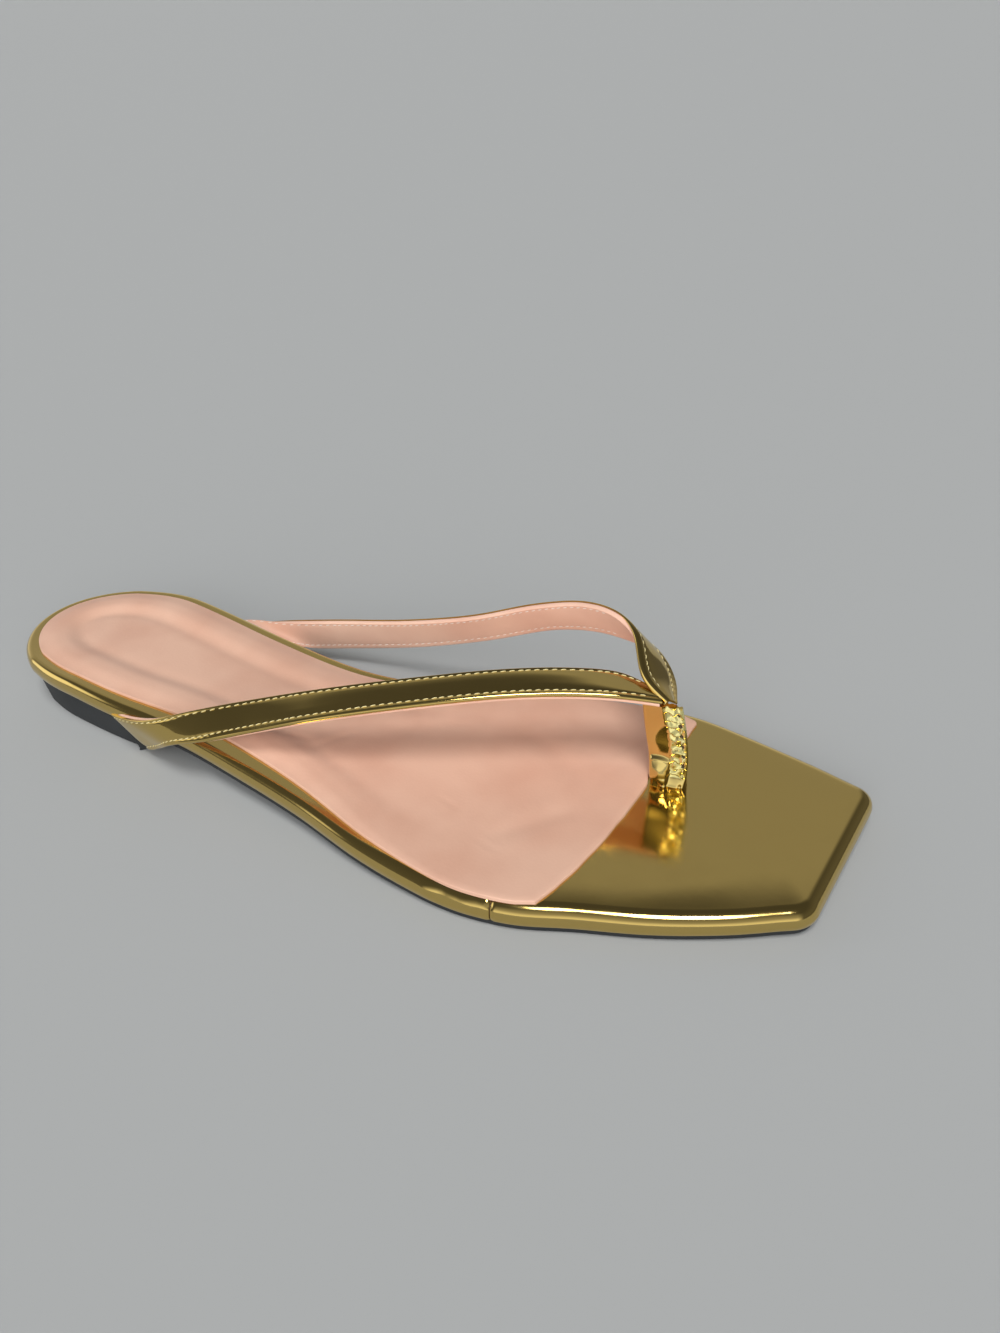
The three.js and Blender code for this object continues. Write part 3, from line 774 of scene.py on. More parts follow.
# heel block and sheet outsole
bottom = {
    "thickness": 1.25, "inset": 1.1, "bevel": 0.4, "topRound": 0.15, "innerRow": 6.0, "bevelShare": 0.3,
    "heelBreast": 66.0, "heelTop": 1.6, "heelFoot": 3.2, "heelBevel": 0.8, "heelSteps": 6,
    "heelInnerTop": 4.0, "heelInnerFoot": 5.0,
    "breastTop": 58.5, "breastFoot": 62.8, "breastHeight": 10.7, "slantFrom": 46.0, "outsoleFrom": 58.0,
    "heelSpine": (24.0, 46.0), "soleSpine": (84.0, 236.0),
    "outsoleSpacing": 1.6, "heelSpacing": 1.4, "cutReach": 4.0,
}


# closed outline between two stations, with straight ends across the foot
def cutOutline(rear, front, spacing):
    kept = [p for p, inward in outlineOfSole if rear <= p.y <= front]
    if rear > 0:
        start = next(i for i, p in enumerate(kept) if p.x > 0)
        ends = [Vector((-halfWidth(inner, rear), rear)), Vector((halfWidth(outer, rear), rear))]
        kept = ends + kept[start:] + kept[:start]
    if front < sole["length"]:
        split = next(i for i, p in enumerate(kept) if p.x < 0 < i and p.y > front - bottom["cutReach"])
        ends = [Vector((halfWidth(outer, front), front)), Vector((-halfWidth(inner, front), front))]
        kept = kept[:split] + ends + kept[split:]
    points = resample(kept, spacing)
    return [(p, inwardAt(points, i, 1)) for i, p in enumerate(points)]


def ringBlock(name, path, rows, spine, slant=None):
    spines = pairedSpine(path, True, *spine)

    def place(column, row):
        point, inward = path[column % len(path)]
        middle = spines[column % len(path)]
        inset, height = rows[row]
        spot = middle.copy() if inset is None else moveIn(point, inward, inset, middle)
        level = height(spot.y)
        if slant:
            spot.y = slant(spot.y, inset or 0.0, level)
        return toFrame(spot.x, spot.y, level)

    return shapedGrid(name, len(path) + 1, len(rows), place, sharpAngle=32)


def makeOutsole():
    path = cutOutline(bottom["outsoleFrom"], sole["length"], bottom["outsoleSpacing"])
    top = -sole["footbed"] - sole["gap"]
    low = top - bottom["thickness"]
    side = bottom["inset"]
    bevel = bottom["bevel"]
    part = bevel * bottom["bevelShare"]
    soft = bottom["topRound"]

    def level(offset):
        return lambda along: rimHeight(along) + offset

    rows = [(None, level(top)), (side + bottom["innerRow"], level(top)), (side + soft, level(top)),
            (side, level(top - soft)), (side, level(low + bevel)), (side + part, level(low + part)),
            (side + bevel, level(low)), (side + bottom["innerRow"], level(low)), (None, level(low))]
    return ringBlock("rubberOutsole", path, rows, bottom["soleSpine"])


def makeHeel():
    path = cutOutline(0, bottom["heelBreast"], bottom["heelSpacing"])
    top = -sole["footbed"] - sole["gap"]
    foot = bottom["heelFoot"]
    bevel = bottom["heelBevel"]
    part = bevel * bottom["bevelShare"]
    steps = bottom["heelSteps"]

    def side(share):
        return lambda along: lerp(rimHeight(along) + top, bevel, share)

    def flat(height):
        return lambda along: height

    rows = [(None, side(0)), (bottom["heelTop"] + bottom["heelInnerTop"], side(0))]
    rows += [(lerp(bottom["heelTop"], foot, k / steps), side(k / steps)) for k in range(steps + 1)]
    rows += [(foot + part, flat(part)), (foot + bevel, flat(0.0)),
             (foot + bottom["heelInnerFoot"], flat(0.0)), (None, flat(0.0))]

    # the breast leans forward to the floor, and the straps come out before it
    def slant(along, inset, level):
        start = bottom["slantFrom"]
        front = lerp(bottom["breastFoot"], bottom["breastTop"], clamp01(level / bottom["breastHeight"]))
        stretch = (front - start) / (bottom["heelBreast"] - min(inset, foot) - start)
        return along if along < start else start + (along - start) * stretch

    return ringBlock("rubberHeel", path, rows, bottom["heelSpine"], slant)


# straps: gold face, pink lining and a row of stitches along each edge
strap = {
    "step": 0.45, "fineSteps": 600, "fairPasses": 64, "thickness": 2.0, "squeezeBelow": 8.5,
    "middle": (0.35, 0.43, 0.5, 0.57, 0.65), "backRow": (0.8, 0.6, 0.4, 0.2),
    # sewn rows: their distance from each edge, and the form of a stitch
    "stitchUp": 0.95, "stitchLow": 1.75, "stitchPitch": 2.2, "stitchLength": 1.75, "threadRadius": 0.14,
    "stitchSlant": 0.16, "stitchBlunt": 0.75, "stitchSink": 0.32,
    "groove": 0.16, "grooveHalf": 0.22, "grooveSide": 0.55, "pucker": 0.07, "crown": 0.05,
    # lining: behind the face, and quilted by its stitches
    "layerGap": 0.1, "quilt": 0.08, "quiltWave": 0.06, "quiltSide": 0.6, "liningCrown": 0.03,
    # how much of the thread's radius stands out, and where the lining's rows stop before the wrap
    "faceThread": 0.6, "liningThread": 0.35, "liningGroove": 0.1, "liningStop": 2.0,
    # gold face: its edges are rolled round to the back
    "roll": {"share": 0.8, "up": 0.35, "angle": -8.0, "backIn": 0.3, "steps": 8},
    # near the turned tip the foil wraps the whole upper edge
    "wrap": {"blend": 14.0, "shift": 0.85, "height": 1.25, "reach": 1.5, "angle": -30.0, "lip": 0.12},
    # thickness of the gold layer, how far before its tip the wrap starts (below zero: no wrap), and the
    # ends that aren't sewn; a row for each fold, the upper and the lower edge
    "outer": {
        "faceThickness": 1.05, "wrapLast": -20.0, "liningShort": 1, "bareEnds": (16.0, 4.0),
        "rows": [
            ((19.0, 44.0, 11.8), (19.0, 62.0, 10.8)), ((28.4, 53.2, 12.0), (27.4, 64.4, 1.4)),
            ((31.8, 62.5, 14.0), (31.6, 76.0, 7.4)), ((33.4, 74.8, 17.7), (34.6, 83.6, 12.6)),
            ((30.0, 88.9, 22.4), (33.6, 96.5, 17.0)), ((23.6, 101.5, 24.8), (30.6, 106.3, 20.2)),
            ((16.3, 123.4, 30.3), (24.9, 127.1, 27.1)), ((6.0, 145.2, 33.4), (14.5, 150.0, 31.2)),
            ((-6.0, 166.7, 34.7), (2.6, 171.6, 32.9)), ((-14.5, 181.2, 33.9), (-5.4, 186.0, 32.5)),
            ((-19.8, 192.8, 32.4), (-10.0, 196.6, 32.0)), ((-18.1, 201.3, 31.7), (-11.8, 207.4, 32.4)),
        ],
    },
    "inner": {
        "faceThickness": 0.5, "wrapLast": 34.0, "liningShort": 12, "bareEnds": (14.0, 5.0),
        "rows": [
            ((-14.0, 46.5, 11.8), (-12.0, 63.0, 10.8)), ((-25.3, 53.3, 11.4), (-22.6, 73.3, 10.2)),
            ((-28.2, 59.8, 12.0), (-27.5, 75.8, 6.8)), ((-30.4, 72.3, 13.8), (-32.6, 80.3, 4.8)),
            ((-33.5, 91.1, 16.7), (-36.0, 92.5, 6.1)), ((-35.4, 116.1, 21.5), (-39.2, 118.3, 11.4)),
            ((-36.3, 139.0, 28.0), (-41.3, 142.0, 18.7)), ((-37.5, 159.2, 35.8), (-42.4, 162.7, 26.7)),
            ((-36.2, 174.8, 40.8), (-40.0, 177.7, 30.9)), ((-32.5, 185.8, 42.2), (-37.0, 188.1, 32.4)),
            ((-27.9, 193.4, 40.6), (-34.7, 195.4, 32.7)), ((-22.8, 196.5, 37.7), (-31.8, 200.4, 30.7)),
            ((-17.5, 199.9, 35.2), (-24.3, 206.0, 29.9)), ((-12.2, 208.4, 33.0), (-13.8, 210.2, 31.4)),
        ],
    },
}


# sections along a strap: lower edge, direction across, width, face direction and reach along it
def strapSections(rows, faceSign):
    fine = strap["fineSteps"]
    ups = smoothLine([Vector(up) for up, low in rows], fine)
    lows = smoothLine([Vector(low) for up, low in rows], fine)
    reach = [0.0]
    for k in range(fine):
        middle = (ups[k] + lows[k]) / 2
        following = (ups[k + 1] + lows[k + 1]) / 2
        reach.append(reach[-1] + (following - middle).length)
    count = round(reach[-1] / strap["step"])
    evenUps = []
    evenLows = []
    index = 0
    for k in range(count + 1):
        at = reach[-1] * k / count
        while index < fine - 1 and reach[index + 1] < at:
            index += 1
        share = clamp01((at - reach[index]) / max(reach[index + 1] - reach[index], 1e-9))
        evenUps.append(ups[index].lerp(ups[index + 1], share))
        evenLows.append(lows[index].lerp(lows[index + 1], share))
    for unused in range(strap["fairPasses"]):
        for line in (evenUps, evenLows):
            before = [p.copy() for p in line]
            for k in range(1, len(line) - 1):
                line[k] = (before[k - 1] + before[k] * 2 + before[k + 1]) / 4
    sections = []
    for k in range(count + 1):
        a = max(k - 1, 0)
        b = min(k + 1, count)
        along = (evenUps[b] - evenUps[a]).normalized() + (evenLows[b] - evenLows[a]).normalized()
        across = evenUps[k] - evenLows[k]
        width = across.length
        across.normalize()
        face = along.cross(across).normalized() * faceSign
        sections.append((evenLows[k], across, width, face, reach[-1] * k / count))
    return sections


# how far the foil wraps the upper edge at a place along the strap
def wrapShare(kind, total, reach):
    start = total - kind["wrapLast"]
    return ease(start, start + strap["wrap"]["blend"], reach)


# a narrow stretch has its sewn rows closer to its edges
def squeezeAt(width):
    return min(1.0, width / strap["squeezeBelow"])


def stitchWave(reach):
    return 0.5 + 0.5 * math.cos(2 * math.pi * reach / strap["stitchPitch"])


# edge of a layer, rolled round to its back: distance in from the edge, and height
def rolledEdge(half, back, radius, reach, firstAngle):
    steps = strap["roll"]["steps"]
    rows = [(strap["roll"]["backIn"], back)]
    for k in range(steps + 1):
        angle = math.radians(lerp(firstAngle, 90, k / steps))
        rows.append((reach * (1 - math.cos(angle)), half - radius * (1 - math.sin(angle))))
    return rows


# section of the gold face: rolled edges, a stitch groove beside each and a slight crown between
def faceLoop(width, reach, wrap, faceThickness):
    half = strap["thickness"] / 2
    dip = strap["groove"] + strap["pucker"] * stitchWave(reach)
    back = half - faceThickness
    roll = strap["roll"]
    wrapped = strap["wrap"]
    lowRoll = faceThickness * roll["share"]
    upRoll = min(lowRoll, roll["up"])
    upBack = lerp(back, wrapped["lip"] - half, wrap)

    def groove(line):
        beside = strap["grooveHalf"]
        bank = half - dip * strap["grooveSide"]
        return [(line - beside, bank), (line, half - dip), (line + beside, bank),
                (line + 0.5, half - 0.02), (line + 1.0, half + 0.03)]

    low = rolledEdge(half, back, lowRoll, lowRoll, roll["angle"]) + groove(strap["stitchLow"])
    upRadius = lerp(upRoll, wrapped["height"], wrap)
    upReach = lerp(upRoll, wrapped["reach"], wrap)
    upAngle = lerp(roll["angle"], wrapped["angle"], wrap)
    high = rolledEdge(half, upBack, upRadius, upReach, upAngle)
    high += groove(strap["stitchUp"] + wrapped["shift"] * wrap)
    squeeze = squeezeAt(width)
    middle = [(width * share, half + 0.03 + strap["crown"] * math.sin(math.pi * share))
              for share in strap["middle"]]
    backRow = [(width - 1.5 * squeeze, back)] + [(width * share, back) for share in strap["backRow"][1:]]
    return ([(d * squeeze, o) for d, o in low] + middle
            + [(width - d * squeeze, o) for d, o in reversed(high)] + backRow)


# section of the lining: flush with the edges, lightly quilted by the stitches
def liningLoop(width, reach, wrap, faceThickness):
    half = strap["thickness"] / 2
    dip = strap["quilt"] + strap["quiltWave"] * stitchWave(reach)
    top = half - faceThickness - strap["layerGap"]

    def lip(line, inset):
        beside = strap["grooveHalf"]
        bank = -half + dip * strap["quiltSide"]
        rows = [(0.35, top), (0.14, top - 0.08), (0.1, top - 0.3),
                (0.12, -half + 0.28), (0.2, -half + 0.1), (0.35, -half + 0.02), (line - 0.4, -half),
                (line - beside, bank), (line, -half + dip), (line + beside, bank),
                (line + 0.5, -half + 0.01), (line + 1.0, -half - 0.01)]
        return [(d + inset * clamp01((3 - d) / 2), o) for d, o in rows]

    squeeze = squeezeAt(width)
    low = [(d * squeeze, o) for d, o in lip(strap["stitchLow"], 0.0)]
    high = [(width - d * squeeze, o) for d, o in reversed(lip(strap["stitchUp"], wrap))]
    middle = [(width * share, -half - strap["liningCrown"] * math.sin(math.pi * share))
              for share in strap["middle"]]
    backRow = [(width * share, top) for share in strap["backRow"]]
    return low + middle + high + backRow


def strapLayer(name, sections, loop, kind, total, wrinkles=None):
    loops = [loop(width, reach, wrapShare(kind, total, reach), kind["faceThickness"])
             for low, across, width, face, reach in sections]
    size = len(loops[0])
    shown = size - len(strap["backRow"])

    def place(column, row):
        low, across, width, face, reach = sections[column]
        d, offset = loops[column][row % size]
        lift = wrinkles(reach, d, width) if wrinkles and row < shown else 0.0
        spot = low + across * d + face * (offset + lift)
        return toFrame(spot.x, spot.y, spot.z)

    return shapedGrid(name, len(sections), size + 1, place, capped=True, sharpAngle=60)


# one stitch, a bent capsule, as vertices and faces around the origin
def stitchShape():
    bpy.ops.object.select_all(action="DESELECT")
    bpy.ops.mesh.primitive_uv_sphere_add(segments=8, ring_count=7, radius=1)
    stitch = bpy.context.object
    half = strap["stitchLength"] / 2
    radius = strap["threadRadius"]
    for vertex in stitch.data.vertices:
        x, y, z = vertex.co
        run = math.copysign(abs(z) ** strap["stitchBlunt"], z) * half
        sink = strap["stitchSink"] * (run / half) ** 4
        vertex.co = (run, y * radius, x * radius - sink)
    vertices = [v.co.copy() for v in stitch.data.vertices]
    # the swap of two axes turns the sphere inside out, so its faces are read backwards
    faces = [tuple(p.vertices)[::-1] for p in stitch.data.polygons]
    bpy.data.objects.remove(stitch, do_unlink=True)
    return vertices, faces


stitchModel = stitchShape()


# copies of the stitch at places given by middle, direction and outward side, joined in one mesh
def stitchRow(name, places):
    shapeVertices, shapeFaces = stitchModel
    vertices = []
    faces = []
    for middle, run, out in places:
        side = out.cross(run).normalized()
        rise = run.cross(side).normalized()
        base = len(vertices)
        for v in shapeVertices:
            spot = middle + run * v.x + side * v.y + rise * v.z
            vertices.append(toFrame(spot.x, spot.y, spot.z))
        faces += [tuple(base + k for k in face) for face in shapeFaces]
    mesh = bpy.data.meshes.new(name)
    mesh.from_pydata(vertices, [], faces)
    mesh.shade_smooth()
    stitches = bpy.data.objects.new(name, mesh)
    bpy.context.scene.collection.objects.link(stitches)
    return stitches


# places of the stitches along both edges of one side of a strap
def strapStitches(sections, kind, height, faceSide, startAt, endAt):
    total = sections[-1][4]
    places = []
    for fromUp in (False, True):
        line = []
        for low, across, width, face, reach in sections:
            squeeze = squeezeAt(width)
            up = strap["stitchUp"] + strap["wrap"]["shift"] * wrapShare(kind, total, reach)
            d = width - up * squeeze if fromUp else strap["stitchLow"] * squeeze
            line.append((low + across * d + face * height, face * faceSide, reach, across))
        at = startAt
        for k in range(1, len(line) - 1):
            if line[k][2] >= at and at < endAt:
                run = (line[k + 1][0] - line[k - 1][0]).normalized() + line[k][3] * strap["stitchSlant"]
                places.append((line[k][0], run.normalized(), line[k][1]))
                at += strap["stitchPitch"]
    return places


def makeStrap(side, faceSign, wrinkles=None):
    kind = strap[side]
    sections = strapSections(kind["rows"], faceSign)
    total = sections[-1][4]
    face = strapLayer(side + "StrapFace", sections, faceLoop, kind, total)
    lined = sections[:-kind["liningShort"]]
    lining = strapLayer(side + "StrapLining", lined, liningLoop, kind, total, wrinkles)
    half = strap["thickness"] / 2
    radius = strap["threadRadius"]
    startAt = kind["bareEnds"][0] + strap["stitchPitch"] / 2
    onFace = half - strap["groove"] + radius * strap["faceThread"]
    onLining = -half + strap["liningGroove"] - radius * strap["liningThread"]
    facePlaces = strapStitches(sections, kind, onFace, 1, startAt, total - kind["bareEnds"][1])
    liningPlaces = strapStitches(sections, kind, onLining, -1, startAt,
                                 total - kind["wrapLast"] - strap["liningStop"])
    faceStitches = stitchRow(side + "StrapStitches", facePlaces)
    liningStitches = stitchRow(side + "LiningStitches", liningPlaces)
    return face, lining, faceStitches, liningStitches


# slanting gathers of the inner strap's lining, just past its root
gathers = {
    "from": 22.0, "fadeIn": 10.0, "to": 54.0, "fadeOut": 14.0, "edge": (1.2, 3.0),
    "height": 0.13, "spacing": 1.9, "slant": 0.9, "uneven": 0.4, "unevenMm": (7.0, 5.0),
}


def innerGathers(reach, d, width):
    fade = ease(gathers["from"], gathers["from"] + gathers["fadeIn"], reach)
    fade *= ease(gathers["to"], gathers["to"] - gathers["fadeOut"], reach)
    bare, full = gathers["edge"]
    middle = ease(bare, full, d) * ease(width - bare, width - full, d)
    phase = (reach + gathers["slant"] * d) / gathers["spacing"]
    alongMm, acrossMm = gathers["unevenMm"]
    wobble = noise.noise(Vector((reach / alongMm, d / acrossMm, 0.4)))
    uneven = 1 - gathers["uneven"] + gathers["uneven"] * wobble
    return gathers["height"] * fade * middle * uneven * math.sin(2 * math.pi * phase)


# toe post: a folded strip, sewn flat along its front and gathered where it enters the sole
post = {
    # level, rear, front, across
    "rows": [(1.8, 204.3, 213.3, -13.8), (9.0, 204.1, 213.8, -13.8), (16.0, 203.4, 214.1, -13.6),
             (24.0, 202.4, 213.5, -13.4), (31.5, 201.6, 212.3, -13.3)],
    "half": 1.5, "edgeRound": 0.45, "edgeLeast": 0.35,
    "levels": 150, "aroundSide": 48, "evenShare": 0.4,
    # sewn flat along the front
    "flange": {"width": 4.3, "half": 1.0, "edge": 0.6, "step": 0.6, "stepIn": 0.24},
    # pressed in beside the sewn front
    "hollow": {"depth": 1.15, "level": 20.8, "reach": 5.0, "along": 8.0},
    # the gathered foot: an arched shelf that leans outward, then a swelling that tucks into the slot
    "fold": {"recess": 0.75, "recessFrom": 20.0, "shelf": 1.0, "from": 15.9, "to": 14.4,
             "swell": 1.5, "foot": 9.8, "tuck": 8.2, "draw": 0.9,
             "archMiddle": 0.33, "archSpan": 0.4, "middle": 0.22, "span": 0.46,
             "onFlange": 0.75, "uneven": 0.3, "unevenMm": (3.5, 6.0)},
    # drawn out to a low mound where it enters the sole, and in again under the cover
    "flare": {"from": 10.0, "to": 7.4, "under": 6.9, "reach": 1.6, "middle": 0.7, "spread": 0.4},
    # fine pleats between two levels of the foot, fading in from each end
    "pleat": {"height": 0.13, "sizeMm": (2.2, 3.0), "top": (15.2, 12.5), "low": (9.8, 11.2)},
    # puckers of the sewn front, each a ledge that leans outward
    "pucker": {"height": 0.74, "spacing": 2.1, "wobble": 0.7, "wobbleMm": (1.7, 2.3), "lip": 0.16,
               "edge": 0.8, "low": (9.6, 10.6)},
    "stitchLine": 1.1, "stitchPitch": 3.1, "firstStitch": 12.4, "stitchesTo": 29.5, "stitchOut": 0.06,
    "hole": 0.4, "holeReach": 0.52, "holeAcross": 0.4,
}


def postSection(level):
    rows = post["rows"]
    rear = readTable(rows, 1, level)
    front = readTable(rows, 2, level)
    across = readTable(rows, 3, level)
    return rear, front, across


# how far a level is from the middle between two stitches
def fromHole(level):
    beat = ((level - post["firstStitch"]) / post["stitchPitch"]) % 1
    return abs(beat - 0.5) * post["stitchPitch"]


# how far the gathered foot swells out
def footSwell(fromRear, share, level, onFlange):
    fold = post["fold"]
    alongMm, levelMm = fold["unevenMm"]
    arch = ((share - fold["archMiddle"]) / fold["archSpan"]) ** 2
    uneven = noise.noise(Vector((fromRear / alongMm, level / levelMm, 8.3)))
    pillow = bell(share - fold["middle"], fold["span"])
    pillow *= (1 - fold["onFlange"] * onFlange) * (1 + fold["uneven"] * uneven)
    drop = clamp01((fold["to"] - arch - level) / (fold["to"] - fold["foot"]))
    tuck = clamp01((fold["foot"] - level) / (fold["foot"] - fold["tuck"]))
    swell = fold["shelf"] * ease(fold["from"] - arch, fold["to"] - arch, level)
    swell -= fold["recess"] * ease(fold["recessFrom"], fold["from"], level)
    swell += fold["swell"] * math.sin(drop * math.pi / 2) - fold["draw"] * tuck ** 2
    return swell * pillow


def flareSwell(share, level):
    flare = post["flare"]
    drawn = clamp01((flare["from"] - level) / (flare["from"] - flare["to"]))
    drawn *= clamp01((level - flare["under"]) / (flare["to"] - flare["under"]))
    dome = math.sqrt(clamp01(1 - ((share - flare["middle"]) / flare["spread"]) ** 2))
    return flare["reach"] * drawn * dome


def pleatSwell(fromRear, level):
    pleat = post["pleat"]
    alongMm, levelMm = pleat["sizeMm"]
    wave = noise.noise(Vector((fromRear / alongMm, level / levelMm, 0.7)))
    return pleat["height"] * wave * ease(*pleat["top"], level) * ease(*pleat["low"], level)


# puckers and needle holes of the sewn front
def sewnSwell(fromFront, level, onFlange):
    pucker = post["pucker"]
    acrossMm, levelMm = pucker["wobbleMm"]
    wobble = noise.noise(Vector((fromFront / acrossMm, level / levelMm, 4.1)))
    ledge = (level / pucker["spacing"] + pucker["wobble"] * wobble) % 1
    sewn = onFlange * ease(0.0, pucker["edge"], fromFront) * ease(*pucker["low"], level)
    hole = bell(fromHole(level), post["holeReach"]) * bell(fromFront - post["stitchLine"], post["holeAcross"])
    return pucker["height"] * (0.5 - ledge) * min(1.0, ledge / pucker["lip"]) * sewn - post["hole"] * hole


# half the post's thickness at a place of its side
def postHalf(fromRear, length, level):
    fromFront = length - fromRear
    share = fromRear / length
    flange = post["flange"]
    hollow = post["hollow"]
    onFlange = ease(flange["width"] + flange["step"], flange["width"] - flange["stepIn"], fromFront)
    flat = lerp(flange["edge"], flange["half"], clamp01(fromFront / flange["width"]))
    half = lerp(post["half"], flat, onFlange)
    half -= (hollow["depth"] * bell(level - hollow["level"], hollow["reach"]) * (1 - onFlange)
             * clamp01(1 - (fromFront - flange["width"]) / hollow["along"]) ** 2)
    half += footSwell(fromRear, share, level, onFlange) + flareSwell(share, level)
    half += pleatSwell(fromRear, level) + sewnSwell(fromFront, level, onFlange)
    if fromRear < post["half"]:
        half *= math.sqrt(max(1 - (1 - fromRear / post["half"]) ** 2, 0))
    if fromFront < post["edgeRound"]:
        rounded = math.sqrt(max(1 - (1 - fromFront / post["edgeRound"]) ** 2, 0))
        half *= lerp(post["edgeLeast"], 1.0, rounded)
    return half


def makePost():
    levels = post["levels"]
    count = post["aroundSide"]
    lowest = post["rows"][0][0]
    highest = post["rows"][-1][0]
    # shares along one side, closer together at both ends
    shares = [lerp(0.5 - 0.5 * math.cos(math.pi * k / count), k / count, post["evenShare"])
              for k in range(count + 1)]
    ring = [(s, 1) for s in shares] + [(s, -1) for s in reversed(shares[1:-1])]

    def place(column, row):
        level = lerp(lowest, highest, row / levels)
        rear, front, across = postSection(level)
        share, side = ring[column % len(ring)]
        half = postHalf(share * (front - rear), front - rear, level)
        return toFrame(across + side * half, lerp(rear, front, share), level)

    return shapedGrid("toePost", len(ring) + 1, levels + 1, place, capped=True, sharpAngle=60)


# the sewn front of the post takes the creased foil, painted pale as a highlight, and its needle holes are
# painted dark as shade
def creaseFront(piece):
    piece.data.materials.append(foilCreasedPaintedPale)
    piece.data.materials.append(holeShadePainted)
    for face in piece.data.polygons:
        level = face.center.z / mm
        fromFront = postSection(level)[1] - (face.center.y / mm - heelBack)
        if fromFront < post["flange"]["width"] and level > post["flare"]["from"]:
            # painted highlight: the sewn front takes the pale painted foil
            face.material_index = 1
        away = math.hypot(fromHole(level), fromFront - post["stitchLine"])
        if away < post["holeReach"] and post["firstStitch"] < level < post["stitchesTo"]:
            # painted shade: faces in a needle hole take the dark paint
            face.material_index = 2


def postStitches():
    places = []
    level = post["firstStitch"]
    while level < post["stitchesTo"]:
        rear, front, across = postSection(level)
        out = postHalf(front - rear - post["stitchLine"], front - rear, level) + post["stitchOut"]
        for side in (1, -1):
            spot = Vector((across + side * out, front - post["stitchLine"], level))
            places.append((spot, Vector((0, 0, 1)), Vector((side, 0, 0))))
        level += post["stitchPitch"]
    return places


dress(makeOutsole(), rubber, "black_rubber", "outsole")
dress(makeHeel(), rubber, "black_rubber", "heel")
dress(makeRand(), foilOnSole, "mirror_gold", "rand")
dress(makeToeCover(), foilOnSole, "mirror_gold", "toe_cover")
sockLining = dress(makeSock(), sockPink, "pink_lining", "sock_lining")

# the face of the outer strap stands for the whole upper
for side, faceSign, wrinkles, nodes in (("outer", 1, None, ("upper",)), ("inner", -1, innerGathers, ())):
    face, lining, faceStitches, liningStitches = makeStrap(side, faceSign, wrinkles)
    dress(face, foilOnStrap, "mirror_gold", *nodes)
    dress(lining, strapPinkPaintedLight, "pink_lining")
    dress(faceStitches, goldThread, "mirror_gold")
    dress(liningStitches, pinkThread, "pink_lining")

creaseFront(dress(makePost(), foilOnPostPaintedPale, "mirror_gold", "toe_post"))
dress(stitchRow("postStitches", postStitches()), goldThread, "mirror_gold")

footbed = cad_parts["footbed"]
footbed.data.materials.clear()
footbed.data.materials.append(board)
print("pieces dressed")


# floor, light and camera
studio = {
    "floor": "#b0b2b2", "floorSize": 40.0, "floorBelow": 0.1,
    # name, where it comes from, spread, energy, and whether the foil mirrors it
    "lights": [("keyLight", (0.32, 0.19, 0.93), 21.0, 1.55, True),
               ("fillLight", (0.83, 0.49, 0.27), 80.0, 2.6, False)],
    "worldStrength": 1.0,
    # brightness of each side of the room by the sine of the height above the floor
    "room": {
        "farWall": ((0.0, 0.8), (0.2, 0.7), (0.4, 0.45), (0.55, 0.36), (0.70, 0.38), (0.75, 0.16),
                    (0.80, 0.085), (1.0, 0.08)),
        "leftWall": ((0.0, 0.16), (0.2, 0.12), (0.8, 0.1), (1.0, 0.08)),
        "rightWall": ((0.0, 0.12), (0.3, 0.14), (0.5, 0.12), (0.8, 0.08), (1.0, 0.08)),
        "nearRoom": ((0.0, 1.15), (0.2, 1.0), (0.45, 0.45), (0.7, 0.3), (0.9, 0.12), (1.0, 0.08)),
        "window": ((0.0, 1.4), (1.0, 1.4)),
    },
    # each side covers the ones before it: name, which way it is, and where it fades in
    "order": [("leftWall", (0.514, -0.857, 0.0), -0.1, 0.1),
              ("farWall", (-0.857, -0.514, 0.0), 0.36, 0.6),
              ("nearRoom", (-0.857, -0.514, 0.0), -0.45, -0.7),
              ("rightWall", (0.514, -0.857, 0.0), -0.35, -0.6),
              ("window", (0.36, -0.89, 0.27), 0.94, 0.975)],
}


# plain matt paper floor
def makeFloor():
    bpy.ops.object.select_all(action="DESELECT")
    place = (0, 0, -studio["floorBelow"] * mm)
    bpy.ops.mesh.primitive_plane_add(size=studio["floorSize"], location=place)
    floor = bpy.context.object
    floor.name = "studioFloor"
    material, tree = newMaterial("matt paper floor")
    shader = addNode(tree, "ShaderNodeBsdfPrincipled",
                     {"Base Color": hexColor(studio["floor"]), "Roughness": 0.95, "Specular IOR Level": 0.1})
    closeMaterial(tree, shader)
    floor.data.materials.append(material)


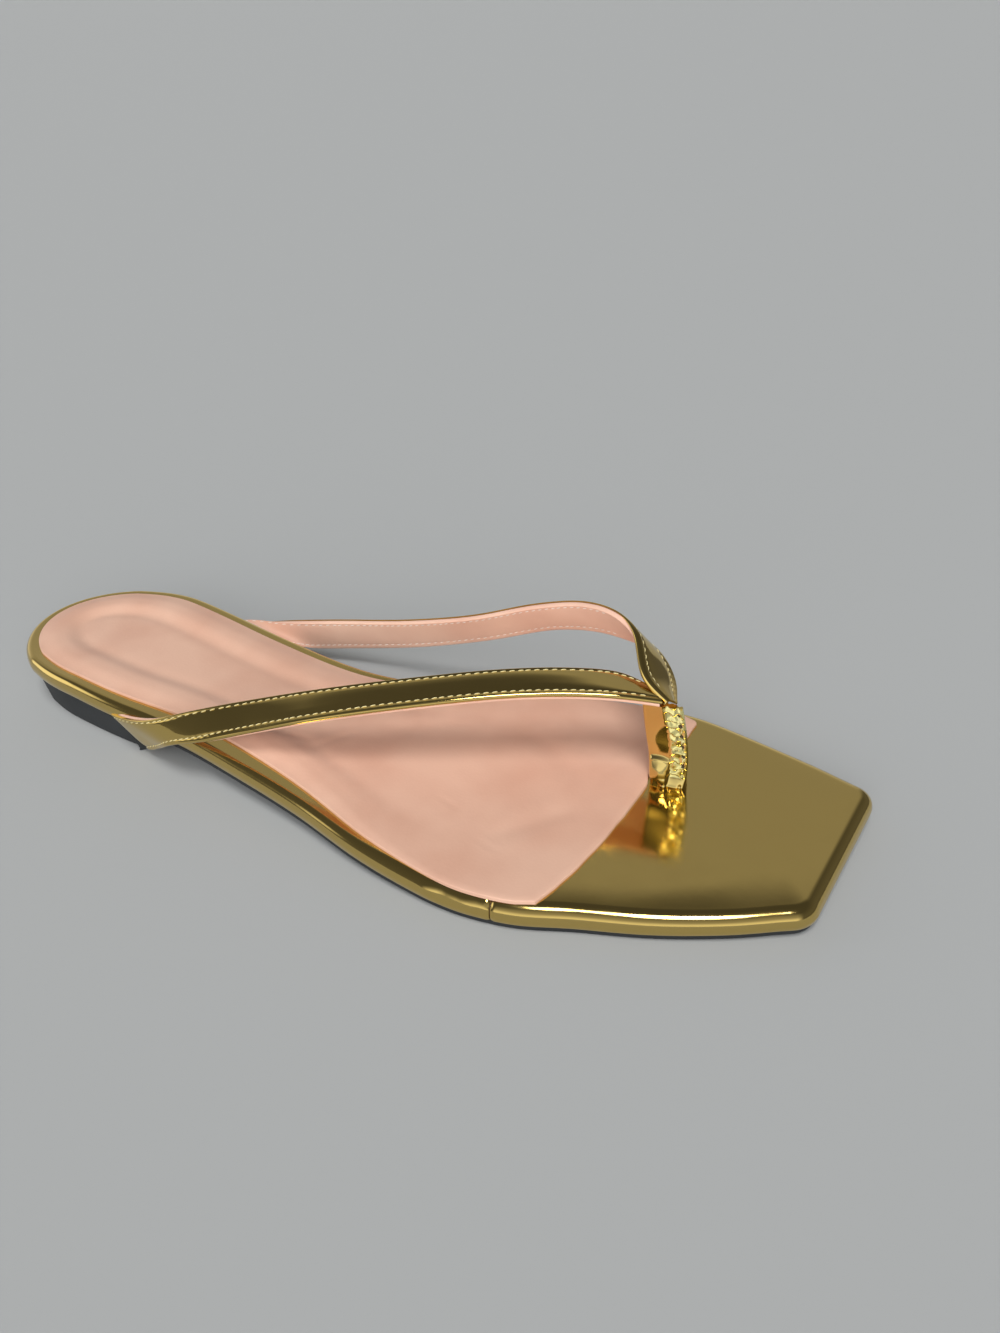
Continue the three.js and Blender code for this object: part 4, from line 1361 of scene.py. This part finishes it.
# world: a pale wall on the far side, a dark ceiling, dim sides, a bright room behind the camera and a
# pale window low on the left
def makeWorld():
    world = bpy.data.worlds.new("studioRoom")
    world.use_nodes = True
    tree = world.node_tree
    tree.nodes.clear()
    coords = addNode(tree, "ShaderNodeTexCoord")
    parts = addNode(tree, "ShaderNodeSeparateXYZ", links={"Vector": coords.outputs["Generated"]})
    brightness = {}
    for name, stops in studio["room"].items():
        ramp = addNode(tree, "ShaderNodeValToRGB", links={"Fac": parts.outputs["Z"]})
        elements = ramp.color_ramp.elements
        elements.remove(elements[-1])
        for position, level in stops:
            stop = elements.new(position) if position else elements[0]
            stop.color = (level, level, level, 1)
        brightness[name] = ramp.outputs["Color"]
    color = brightness["rightWall"]
    for name, direction, fadeFrom, fadeTo in studio["order"]:
        faced = addNode(tree, "ShaderNodeVectorMath", {"operation": "DOT_PRODUCT", 1: direction},
                        {0: coords.outputs["Generated"]})
        share = addNode(tree, "ShaderNodeMapRange", {"From Min": fadeFrom, "From Max": fadeTo},
                        {"Value": faced.outputs["Value"]})
        mix = addNode(tree, "ShaderNodeMix", {"data_type": "RGBA"},
                      {"Factor": share.outputs["Result"], 6: color, 7: brightness[name]})
        color = mix.outputs[2]
    background = addNode(tree, "ShaderNodeBackground", {"Strength": studio["worldStrength"]},
                         {"Color": color})
    addNode(tree, "ShaderNodeOutputWorld", links={"Surface": background.outputs[0]})
    bpy.context.scene.world = world


# a broad soft light high above the camera, and a wide one low beside it that the foil doesn't mirror
def makeLight(name, towards, spread, energy, mirrored):
    bpy.ops.object.light_add(type="SUN", location=(0, 0, 2))
    light = bpy.context.object
    light.name = name
    light.data.angle = math.radians(spread)
    light.data.energy = energy
    light.rotation_euler = (-Vector(towards)).to_track_quat("-Z", "Y").to_euler()
    light.visible_glossy = mirrored


# the camera's place and turn against the sandal, as in the photograph
view = {
    "place": (0.20105, 0.16072, 0.19167), "turn": -239.06, "down": 32.81, "roll": -3.71,
    "focalPixels": 1120.0, "longSide": 1333.0, "sensor": 36.0,
}


def makeCamera():
    bpy.ops.object.camera_add()
    camera = bpy.context.object
    camera.data.sensor_width = view["sensor"]
    camera.data.lens = view["sensor"] * view["focalPixels"] / view["longSide"]
    camera.data.clip_start = 0.01
    camera.data.clip_end = 50
    turn = Matrix.Rotation(math.radians(view["turn"]), 4, "Z")
    down = Matrix.Rotation(math.radians(90 - view["down"]), 4, "X")
    roll = Matrix.Rotation(math.radians(view["roll"]), 4, "Z")
    camera.matrix_world = Matrix.Translation(view["place"]) @ turn @ down @ roll
    bpy.context.scene.camera = camera


makeFloor()
makeWorld()
for light in studio["lights"]:
    makeLight(*light)
makeCamera()
bpy.context.scene.view_settings.view_transform = "Standard"
print("stage set")
